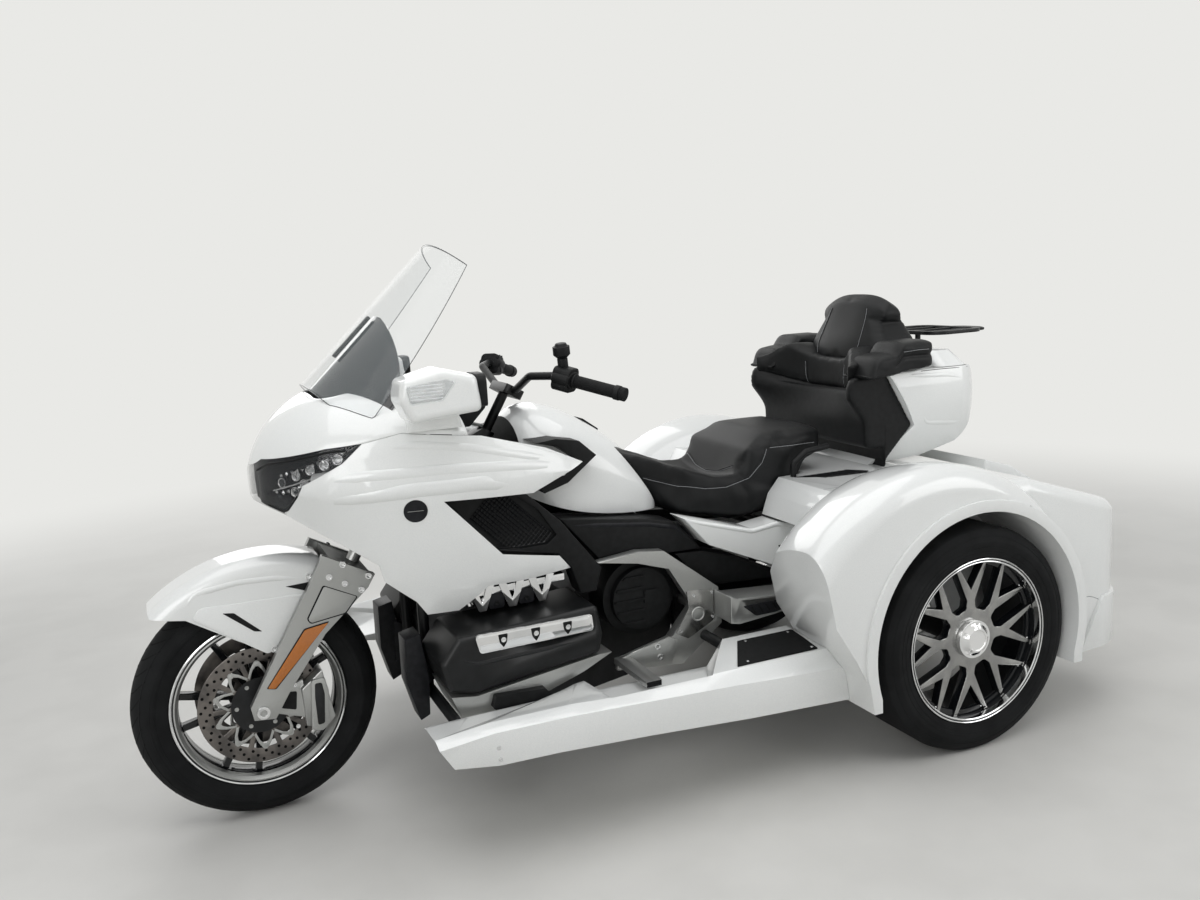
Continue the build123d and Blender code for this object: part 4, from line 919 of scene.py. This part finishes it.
plate("dash_screen_frame", [(-118, 1062), (-118, 1128), (118, 1128), (118, 1062)], 466, 454, ABS_BLACK,
      along="X", corner=12, round_off=2)
plate("dash_screen", [(-104, 1070), (-104, 1120), (104, 1120), (104, 1070)], 456, 452, GLOSS_BLACK,
      along="X", corner=8, round_off=1)
for y in (-440, 440):
    plate(f"tail_lamp_frame_{y + 440}", [(y - 70, 440), (y - 70, 540), (y + 70, 540), (y + 70, 440)], -1410,
          -1421, RED, along="X", corner=16, round_off=3)
    for z in range(452, 536, 14):
        plate(f"tail_lamp_rib_{y + 440}_{z}", [(y - 58, z), (y - 58, z + 5), (y + 58, z + 5), (y + 58, z)],
              -1418, -1424, RED, along="X", round_off=1)
plate("boot_handle", [(-70, 585), (-70, 600), (70, 600), (70, 585)], -1396, -1412, ABS_BLACK, "rear_lid",
      along="X", corner=5, round_off=2)


# Tyres: raised rings on the sidewalls, and lines of painted shade for the slanted grooves across the tread

def skin_of(tyre, centre, radius, middle):
    """How far out of its middle plane a tyre's wall stands at a radius, in millimetres."""
    aim = Vector((centre[0] + radius, middle + 200, centre[1])) * MM
    place = frame["nodes"][tyre].ray_cast(aim, Vector((0, -1, 0)))[1]
    return place.y / MM - middle


def wall_rings(tyre, centre, middle, radii, body):
    """Moulded rings that stand 0.8 mm proud of both walls of a tyre."""
    for count, radius in enumerate(radii):
        low, high = (skin_of(tyre, centre, radius + shift, middle) for shift in (-1.6, 1.6))
        for side in (-1, 1):
            profile = [(radius - 2.4, low - 1.5), (radius - 1.2, low + 0.8), (radius + 1.2, high + 0.8),
                       (radius + 2.4, high - 1.5)]
            turned(f"{tyre}_ring_{count}_{'in' if side < 0 else 'out'}", centre,
                   [(reach, middle + side * along) for reach, along in profile], RUBBER, body)


wall_rings("front_tyre", FRONT_AXLE, 0, (262, 276, 300), "front_wheel")
wall_rings("rear_tyre_left", REAR_AXLE, REAR_WHEEL_Y, (256, 270, 300), "rear_wheel_left")
wall_rings("rear_tyre_right", REAR_AXLE, -REAR_WHEEL_Y, (256, 270, 300), "rear_wheel_right")


def tread_grooves():
    """Slanted sipes across the front tyre: dark lines a few tenths proud of the crown, painted shade for the
    grooves.
    """
    tyre = frame["nodes"]["front_tyre"]
    centre = Vector((FRONT_AXLE[0], 0, FRONT_AXLE[1]))
    for side in (-1, 1):
        line = begin("sipe", bpy.ops.mesh.primitive_cube_add, size=1)
        bpy.ops.mesh.subdivide(number_cuts=6)
        for vert in verts(line):
            share = vert.co.y + 0.5
            across = side * (10 + 42 * share)
            turn = math.radians(90 + 9 * share * share + vert.co.x * (0.9 - 0.5 * share))
            way = Vector((math.cos(turn), 0, math.sin(turn)))
            aim = (centre + way * 420 + Vector((0, across, 0))) * MM
            place = tyre.ray_cast(aim, -way)[1]
            vert.co = place - centre * MM + way * (0.5 * vert.co.z + 0.15) * MM
        outward(line)
        places = around(FRONT_AXLE, 44, math.radians(side * 2))
        repeat(line, f"front_sipe_shade_lines_{'left' if side > 0 else 'right'}", places, PAINTED_SHADE_BLACK, "front_wheel")


tread_grooves()


# Switch pods round the inner ends of the grips

def switch_pods():
    """A tall oval pod with a switch block and a lever stub, on each side of the bar."""
    place, way = bar_spot(34, 2)
    pod = drum("switch_pod", 32, 24, 44)
    scale(1.0, 1.5, 1)
    inset(pod, ends, 5)
    scale(1, 1, 1.2)
    repeat(pod, "switch_pods", both_ways([place], way), ABS_BLACK, "handlebar", 2)
    switch = begin("pod_switch", bpy.ops.mesh.primitive_cube_add, size=1)
    scale(0.016, 0.012, 0.012)
    inset(switch, top, 2)
    extrude(z=3)
    spots = [bar_spot(along, rise, 25)[0] for along, rise in ((24, 20), (42, 20), (33, 2), (33, -16))]
    repeat(switch, "pod_switches", both_ways(spots, way.cross(Vector((0, 0, 1)))), ABS_GREY, "handlebar", 1)


switch_pods()


# Cushions: swelled as stuffed cloth, then sewn

def remeshed(node, name, voxel, rounding, shape):
    """A rounded copy of a CAD solid, remeshed and shaped, that stands for it."""
    piece = copied(node, name)
    outward(piece)
    bpy.ops.object.mode_set(mode="OBJECT")
    modify(piece, "REMESH", mode="VOXEL", voxel_size=voxel * MM)
    modify(piece, "SMOOTH", factor=0.5, iterations=rounding)
    for vert in piece.data.vertices:
        vert.co = shape(vert.co / MM) * MM
    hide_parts(node)
    return piece


def stuffed(pad, travel):
    """Swells a closed pad as stuffed cloth, no point moving further than travel, and covers it."""
    before = [vert.co.copy() for vert in pad.data.vertices]
    stuffing = pad.modifiers.new("stuffing", "CLOTH")
    stuffing.settings.use_pressure = True
    stuffing.settings.uniform_pressure_force = 4
    stuffing.settings.effector_weights.gravity = 0
    stuffing.collision_settings.use_collision = False
    for moment in range(1, 21):
        bpy.context.scene.frame_set(moment)
    take(pad)
    bpy.ops.object.modifier_apply(modifier=stuffing.name)
    bpy.context.scene.frame_set(1)
    for vert, start in zip(pad.data.vertices, before):
        move = vert.co - start
        if move.length > travel * MM:
            vert.co = start + move * (travel * MM / move.length)
    modify(pad, "SMOOTH", factor=0.5, iterations=3)
    modify(pad, "SUBSURF", levels=1, render_levels=1)
    for face in pad.data.polygons:
        face.use_smooth = True
    pad.data.materials.clear()
    pad.data.materials.append(VINYL)
    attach(pad, "chassis")
    return pad


def ease(value, start, end):
    """0 before start, 1 after end, and a smooth rise between."""
    share = min(max((value - start) / (end - start), 0), 1)
    return share * share * (3 - 2 * share)


def seat_shape(place):
    """A sunk rider's bucket with raised sides, and a crowned passenger's place behind it."""
    edge = min(abs(place.y) / 190, 1.1)
    upper = ease(place.z, 710, 760)
    rider = ease(place.x, -350, -280) * (1 - ease(place.x, -60, 60))
    passenger = 1 - ease(place.x, -430, -340)
    lift = 26 * rider * edge ** 2 - 16 * passenger * edge ** 4
    return Vector((place.x, place.y * (0.985 - 0.05 * upper), place.z + upper * lift))


def backrest_shape(place):
    """A pad fuller at the small of the back, wide at its foot, with a domed top and rounded sides."""
    side = abs(place.y) / 165
    front = ease(place.x, -890, -850)
    belly = 16 * math.exp(-((place.z - 1120) / 60) ** 2) * (1 - side ** 2)
    dome = 30 * ease(place.z, 1180, 1290) * (abs(place.y) / 112) ** 3
    wide = 1.06 + 0.12 * math.exp(-((place.z - 1110) / 60) ** 2) + 0.3 * ease(place.z, 1190, 1275)
    return Vector((place.x + front * (belly - 24 * side ** 3), place.y * wide, place.z - dome))


def arm_shape(place):
    """A pod in two steps: a lower part that slopes down to its front, and a pad above it."""
    across = (abs(place.y) - 272) / 72
    slope = 34 * ease(place.x, -806, -772) + 46 * ease(place.x, -722, -668)
    groove = 9 * math.exp(-((place.z - 1110) / 7) ** 2) * (1 - ease(place.x, -790, -770))
    drop = ease(place.z, 1040, 1146) * (slope + 12 * across ** 4)
    back = 0.5 * max(0, place.x + 705)
    inward = math.copysign(groove * min(1, abs(across) * 1.4), place.y * -across)
    return Vector((place.x - back, place.y + inward, place.z - drop))


def trunk_front_shape(place):
    """The panel behind the passenger: flared at its sides, hollow between them and below its rim."""
    reach = min(1, abs(place.y) / 262) ** 2.2
    deep = min(max((place.x + 900) / 250, 0), 1)
    high = ease(place.z, 890, 1030)
    flare = 72 * (1 - high) * ease(place.x, -790, -690)
    hollow = deep * (1 - reach) * (4 + 118 * high)
    rim = 58 * ease(place.z, 985, 1046) * (1 - reach) * deep
    return Vector((place.x - flare - hollow, place.y, place.z - rim))


mirror_housings = remeshed("mirrors", "mirror_housings", 5, 8, lambda place: place)
finish(mirror_housings, WHITE, flat=60)
trunk_panel = remeshed("trunk_front", "trunk_front_panel", 8, 3, trunk_front_shape)
finish(trunk_panel, ABS_BLACK, flat=40)
seat = stuffed(remeshed("seat", "seat_cushion", 7, 26, seat_shape), 6)
backrest = stuffed(remeshed("backrest", "backrest_cushion", 6, 20, backrest_shape), 5)
arms = stuffed(remeshed("arm_rests", "arm_pads", 5, 10, arm_shape), 3)


def wrapped_cushion():
    """The cushion round the foot of the backrest, its wings reaching forward along the arm pads."""
    pad = begin("wrapped_cushion", bpy.ops.mesh.primitive_cube_add, size=1)
    bpy.ops.mesh.subdivide(number_cuts=15)
    for vert in verts(pad):
        across, deep, high = 2 * vert.co.y, vert.co.x + 0.5, vert.co.z + 0.5
        reach = abs(across) ** 2.2
        front = -772 + 118 * reach - 10 * high * (1 - reach)
        low = 984 + 50 * reach
        crest = 1084 + 50 * math.exp(-((abs(across) - 0.66) / 0.2) ** 2)
        vert.co = Vector((front - 92 * (1 - deep), 258 * across, low + (crest - low) * high)) * MM
    outward(pad)
    nothing_selected()
    modify(pad, "REMESH", mode="VOXEL", voxel_size=6 * MM)
    modify(pad, "SMOOTH", factor=0.5, iterations=18)
    return stuffed(pad, 3)


wrap = wrapped_cushion()

# The radius of the seams' piping
PIPING = 1.7


def sewn(name, pad, route, way, both=True):
    """Piping with stitches beside it, laid on a cushion along a route, from a direction."""
    way = Vector(way).normalized()
    spots = []
    for start, end in zip(route, route[1:]):
        steps = max(2, int((Vector(end) - Vector(start)).length / 10))
        for step in range(steps):
            aim = Vector(start).lerp(Vector(end), step / steps) * MM
            found, place, out = pad.ray_cast(aim - way * 0.3, way)[:3]
            if found:
                spots.append((place, out))
    raised = [place + out * 0.2 * MM for place, out in spots]
    finish(tube(name, raised, PIPING, 2), VINYL, both=both, flat=60)

    thread = drum("thread", 6, 0.9, 6)
    inset(thread, ends, 0.4)
    scale(1, 1, 1.1)
    places = []
    for (here, out), following in zip(spots, spots[1:]):
        there = following[0]
        along = (there - here).normalized()
        aside = along.cross(out).normalized()
        for share in (0.25, 0.75):
            spot = here.lerp(there, share) + out * 0.5 * MM + aside * (PIPING + 2.4) * MM
            places.append(Matrix.Translation(spot) @ along.to_track_quat("Z", "X").to_matrix().to_4x4())
    stitches = repeat(thread, f"{name}_stitches", places, THREAD)
    if both:
        modify(stitches, "MIRROR", use_axis=(False, True, False), use_mirror_merge=False)


sewn("seat_edge_seam", seat, [(-20, 230, 850), (-109, 230, 800), (-190, 230, 778), (-262, 230, 773),
                              (-340, 230, 790), (-385, 230, 830), (-410, 230, 880)], (0, -1, -0.45))
sewn("passenger_edge_seam", seat, [(-420, 230, 868), (-494, 230, 866), (-600, 230, 868)], (0, -1, -0.3))
sewn("rider_cross_seam", seat, [(-318, -150, 900), (-306, -75, 900), (-302, 0, 900), (-306, 75, 900),
                                (-318, 150, 900)], (0, 0, -1), both=False)
sewn("backrest_side_seams", backrest, [(-700, 92, 1070), (-700, 104, 1130), (-700, 98, 1190),
                                       (-700, 88, 1250)],
     (-1, 0, 0))
sewn("arm_pad_seams", arms, [(-800, 400, 1134), (-850, 400, 1136), (-905, 400, 1136)], (0, -1, -0.2))
sewn("wrap_seams", wrap, [(-560, 96, 1000), (-560, 100, 1030), (-600, 104, 1075)], (-1, 0, 0))


# Camera and light

# The place, turn and lens of the camera that were solved from the wheels' outlines in the photograph
CAMERA_PLACE = (1.3102, 2.9054, 1.4201)
yaw, pitch, roll = 0.4063, 0.1705, -0.0544
ahead = Vector((-math.sin(yaw) * math.cos(pitch), -math.cos(yaw) * math.cos(pitch), -math.sin(pitch)))
right = Vector((ahead.y, -ahead.x, 0)).normalized()
up = right.cross(ahead)
right, up = (math.cos(roll) * right + math.sin(roll) * up, -math.sin(roll) * right + math.cos(roll) * up)
camera_data = bpy.data.cameras.new("camera")
camera_data.sensor_width = 36
camera_data.lens = 31.93
camera = bpy.data.objects.new("camera", camera_data)
camera.matrix_world = Matrix.Translation(CAMERA_PLACE) @ Matrix(
    (right, up, -ahead)).transposed().to_4x4()
bpy.context.scene.collection.objects.link(camera)
bpy.context.scene.camera = camera


def soft_light(name, place, aim, size, power):
    """A large square lamp that points at a place."""
    bpy.ops.object.light_add(type="AREA", location=place)
    lamp = bpy.context.object
    lamp.name = name
    lamp.data.size = size
    lamp.data.energy = power
    lamp.rotation_euler = (Vector(aim) - Vector(place)).to_track_quat("-Z", "Y").to_euler()


soft_light("ceiling_light", (0.3, 0.6, 4.2), (0, 0, 0.4), 4.5, 110)
soft_light("front_left_light", (3.6, 3.4, 2.6), (0.2, 0, 0.6), 2.5, 60)
soft_light("rear_left_light", (-3.2, 3.2, 2.4), (-0.6, 0, 0.6), 2.5, 45)
soft_light("far_side_light", (0.0, -4.0, 2.8), (0, 0, 0.7), 3.0, 45)

# The pale backdrop is what the camera, reflections and refractions see; the object is lit by a weaker sky
BACKDROP = "#E9E9E6"
world = bpy.data.worlds.new("studio")
bpy.context.scene.world = world
world.use_nodes = True
sky = world.node_tree
path = add(sky, "ShaderNodeLightPath")
straight = add(sky, "ShaderNodeMath", operation="MAXIMUM",
               links={0: path.outputs["Is Camera Ray"], 1: path.outputs["Is Transmission Ray"]})
seen = add(sky, "ShaderNodeMath", operation="MAXIMUM",
           links={0: straight.outputs[0], 1: path.outputs["Is Glossy Ray"]})
plain = add(sky, "ShaderNodeBackground", {"Color": tint(BACKDROP), "Strength": 1.0})
fill = add(sky, "ShaderNodeBackground", {"Color": tint("#E3E6EA"), "Strength": 0.36})
mix = add(sky, "ShaderNodeMixShader", links={0: seen.outputs[0], 1: fill.outputs[0], 2: plain.outputs[0]})
sky.links.new(mix.outputs[0], sky.nodes["World Output"].inputs["Surface"])

bpy.ops.mesh.primitive_plane_add(size=60, location=(0, 0, 0))
floor = bpy.context.object
floor.name = "floor"
made = coating("pale_floor", ("#CDCCC8", "#D2D1CD"), (3, 3), (300, 2), 0.02, 0.0003, Roughness=0.5)
tree = made.node_tree
shader = tree.nodes["Principled BSDF"]
middle = add(tree, "ShaderNodeTexCoord").outputs["Object"]
reach = add(tree, "ShaderNodeVectorMath", {}, {0: middle}, operation="LENGTH").outputs["Value"]
far = add(tree, "ShaderNodeMapRange", {"From Min": 2.2, "From Max": 5.5}, {"Value": reach},
          interpolation_type="SMOOTHSTEP").outputs["Result"]
away = add(tree, "ShaderNodeEmission", {"Color": tint(BACKDROP), "Strength": 1.0})
fade = add(tree, "ShaderNodeMixShader", links={0: far, 1: shader.outputs["BSDF"], 2: away.outputs[0]})
tree.links.new(fade.outputs[0], tree.nodes["Material Output"].inputs["Surface"])
floor.data.materials.append(made)
bpy.context.scene.view_settings.view_transform = "Standard"
